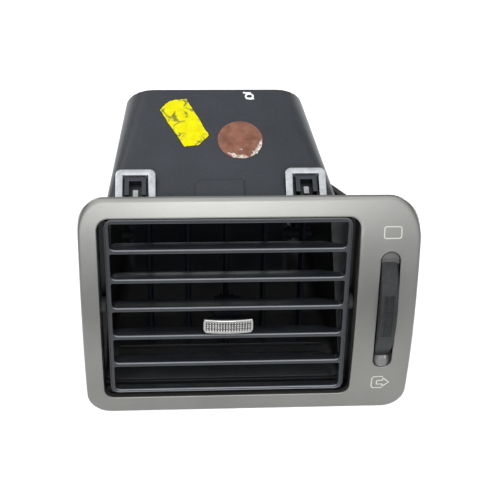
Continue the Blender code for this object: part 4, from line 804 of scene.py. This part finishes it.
def yellowPaper():
    # a strong yellow with creases painted dark as painted shade along the wrinkles: the borders of bent cells,
    # kept only where a second noise is high
    made = paint("labelPaper", {"dark": (0.50, 0.45, 0.0), "light": (0.60, 0.56, 0.0), "specular": 0.1,
                                "rough": (0.5, 0.62), "cloud": 300.0, "bump": 0.25})
    tree = made.node_tree
    shader = tree.nodes["Principled BSDF"]
    base = shader.inputs["Base Color"].links[0].from_socket
    coords = tree.nodes.new("ShaderNodeTexCoord").outputs["Object"]
    cells = tree.nodes.new("ShaderNodeTexVoronoi")
    cells.feature = "DISTANCE_TO_EDGE"
    cells.inputs["Scale"].default_value = 170.0
    bent = node(tree, "ShaderNodeTexNoise", Vector=coords, Scale=220.0, Detail=6.0)
    shifted = tree.nodes.new("ShaderNodeVectorMath")
    shifted.operation = "MULTIPLY_ADD"
    tree.links.new(bent.outputs["Color"], shifted.inputs[0])
    shifted.inputs[1].default_value = (0.006, 0.006, 0.006)
    tree.links.new(coords, shifted.inputs[2])
    tree.links.new(shifted.outputs[0], cells.inputs["Vector"])
    # painted shade: the crease lines are darkened where the wrinkles would lie in shade
    crease = ramp(tree, cells.outputs["Distance"], [(0.0, (1, 1, 1)), (0.09, (0, 0, 0))])
    patches = node(tree, "ShaderNodeTexNoise", Vector=coords, Scale=130.0, Detail=3.0)
    some = ramp(tree, patches.outputs["Fac"], [(0.47, (0, 0, 0)), (0.56, (1, 1, 1))])
    both = tree.nodes.new("ShaderNodeMath")
    both.operation = "MULTIPLY"
    tree.links.new(crease, both.inputs[0])
    tree.links.new(some, both.inputs[1])
    mix = tree.nodes.new("ShaderNodeMix")
    mix.data_type = "RGBA"
    tree.links.new(both.outputs[0], mix.inputs["Factor"])
    tree.links.new(base, mix.inputs["A"])
    mix.inputs["B"].default_value = (0.10, 0.10, 0.03, 1)
    tree.links.new(mix.outputs["Result"], shader.inputs["Base Color"])
    return made


labelEdge = outline(labelCorners, 12, paperShape["labelRagged"])
label = makeMesh("yellowLabel", [discShell(labelEdge, labelTop, paperShape["labelThick"], 16)],
                 yellowPaper(), 60)
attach(label, "housing")
angles = np.linspace(0, 2 * math.pi, 97)[:-1]
stickerMiddle = onDuct([(-3.5, 33.4)])[0]
spokes = paperShape["stickerRadius"] * np.stack([np.cos(angles), np.sin(angles)], axis=-1)
stickerTop = ductTop + paperShape["stickerLift"]
stickerDisc = discShell(np.array(stickerMiddle) + spokes, lambda x, y: stickerTop + 0 * x,
                        paperShape["stickerThick"], 8)
sticker = makeMesh("roundSticker", [stickerDisc], stickerPaint, 60)
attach(sticker, "housing")
tearRight = onDuct([(6.4, 33.6), (5.9, 29.4), (3.6, 25.9), (0.6, 24.1), (2.2, 27.0), (3.9, 29.2),
                    (4.6, 31.6)])
tearLow = onDuct([(-9.6, 26.6), (-6.9, 24.0), (-2.6, 23.5), (0.0, 23.9), (-1.8, 25.2), (-4.6, 25.0),
                  (-6.6, 26.2)])
tearDot = onDuct([(-4.4, 28.1), (-3.6, 27.7), (-2.4, 28.0), (-2.6, 28.6), (-3.5, 28.4)])
shells = [discShell(outline(tear, 5, paperShape["tearRagged"]),
                    lambda x, y: ductTop + paperShape["tearLift"] + 0 * x, paperShape["tearThick"], 4)
          for tear in (tearRight, tearLow, tearDot)]
tears = makeMesh("stickerTears", shells, tornPaint, 60)
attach(tears, "housing")
loop = np.stack([0.0016 + 0.0017 * np.cos(angles[::4]), 0.0577 + 0.0013 * np.sin(angles[::4])], axis=-1)
strokes = [(loop, True), (np.array([(-0.0012, 0.0598), (0.0006, 0.0595), (0.0024, 0.0596)]), False),
           (np.array([(0.0000, 0.0566), (0.0020, 0.0562), (0.0037, 0.0564)]), False)]
shells = []
for path, closed in strokes:
    back = np.minimum(edgeY + path[:, 1], high[1] - paperShape["markInset"])
    points = np.column_stack([path[:, 0], back, np.full(len(path), ductTop + paperShape["markLift"])])
    upright = np.tile([0.0, 0.0, 1.0], (len(path), 1))
    shells.append(ribbonShell(points, upright, paperShape["markWide"], paperShape["markHigh"], closed, 4))
mark = makeMesh("penMark", shells, whitePaint, 60)
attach(mark, "housing")
print("papers made")

# Floor, light and camera
floorShape = {"half": 4, "drop": 0.0002}
floorMesh = bpy.data.meshes.new("floor")
half = floorShape["half"]
floorCorners = [(-half, -half, 0), (half, -half, 0), (half, half, 0), (-half, half, 0)]
floorMesh.from_pydata(floorCorners, [], [(0, 1, 2, 3)])
floorPaint = paint("floorPaint", {"dark": (0.93, 0.93, 0.925), "light": (0.945, 0.945, 0.94),
                                  "rough": (0.7, 0.8), "cloud": 2.0, "bump": 0.0})
floorMesh.materials.append(floorPaint)
floor = bpy.data.objects.new("floor", floorMesh)
floor.location = (0, 0, low[2] - floorShape["drop"])
bpy.context.scene.collection.objects.link(floor)
world = bpy.data.worlds.new("studio")
bpy.context.scene.world = world
world.use_nodes = True
sky = world.node_tree
skySide = sky.nodes.new("ShaderNodeVectorMath")
skySide.operation = "DOT_PRODUCT"
sky.links.new(sky.nodes.new("ShaderNodeTexCoord").outputs["Generated"], skySide.inputs[0])
skySide.inputs[1].default_value = (0, -0.42, 0.91)
# a warm grey horizon under a cool white ceiling that is brightest toward the front
skyColor = ramp(sky, skySide.outputs["Value"], [(0.0, (0.20, 0.192, 0.175)), (0.4, (0.21, 0.205, 0.195)),
                                                (0.56, (0.38, 0.39, 0.41)), (0.8, (0.56, 0.57, 0.59)),
                                                (0.96, (0.94, 0.96, 1.0))])
sky.links.new(skyColor, sky.nodes["Background"].inputs["Color"])
sky.nodes["Background"].inputs["Strength"].default_value = 3.0


def areaLight(name, place, target, size, power):
    data = bpy.data.lights.new(name, "AREA")
    data.energy = power
    data.size = size
    data.color = (0.94, 0.97, 1.0)
    lamp = bpy.data.objects.new(name, data)
    lamp.location = place
    lamp.rotation_euler = (Vector(target) - Vector(place)).to_track_quat("-Z", "Y").to_euler()
    bpy.context.scene.collection.objects.link(lamp)


areaLight("frontLight", (0.02, -1.0, 0.80), (-0.02, 0, 0.08), 0.34, 2.8)
areaLight("highLight", (-0.7, 0.5, 1.0), (0, 0, 0.05), 0.5, 4.0)

cameraShape = {"lens": 79.2, "sensor": 36, "near": 0.01, "place": (0.0440, -0.1897, 0.4950),
               "yaw": -0.12980, "down": 1.05740, "roll": 0.10130}
yaw, down, rolled = cameraShape["yaw"], cameraShape["down"], cameraShape["roll"]
right = Vector((math.cos(yaw), math.sin(yaw), 0))
ahead = Vector((-math.sin(yaw) * math.cos(down), math.cos(yaw) * math.cos(down), -math.sin(down)))
above = right.cross(ahead)
rightRolled = math.cos(rolled) * right + math.sin(rolled) * above
aboveRolled = math.cos(rolled) * above - math.sin(rolled) * right
cameraData = bpy.data.cameras.new("camera")
cameraData.lens = cameraShape["lens"]
cameraData.sensor_width = cameraShape["sensor"]
cameraData.clip_start = cameraShape["near"]
camera = bpy.data.objects.new("camera", cameraData)
# its place is counted from the bezel's left lower front corner
place = Vector((bezelLow[0], faceY, low[2])) + Vector(cameraShape["place"])
turned = Matrix((rightRolled, aboveRolled, -ahead)).transposed().to_4x4()
camera.matrix_world = Matrix.Translation(place) @ turned
bpy.context.scene.collection.objects.link(camera)
bpy.context.scene.camera = camera
bpy.context.scene.view_settings.view_transform = "Standard"
print("stage made")
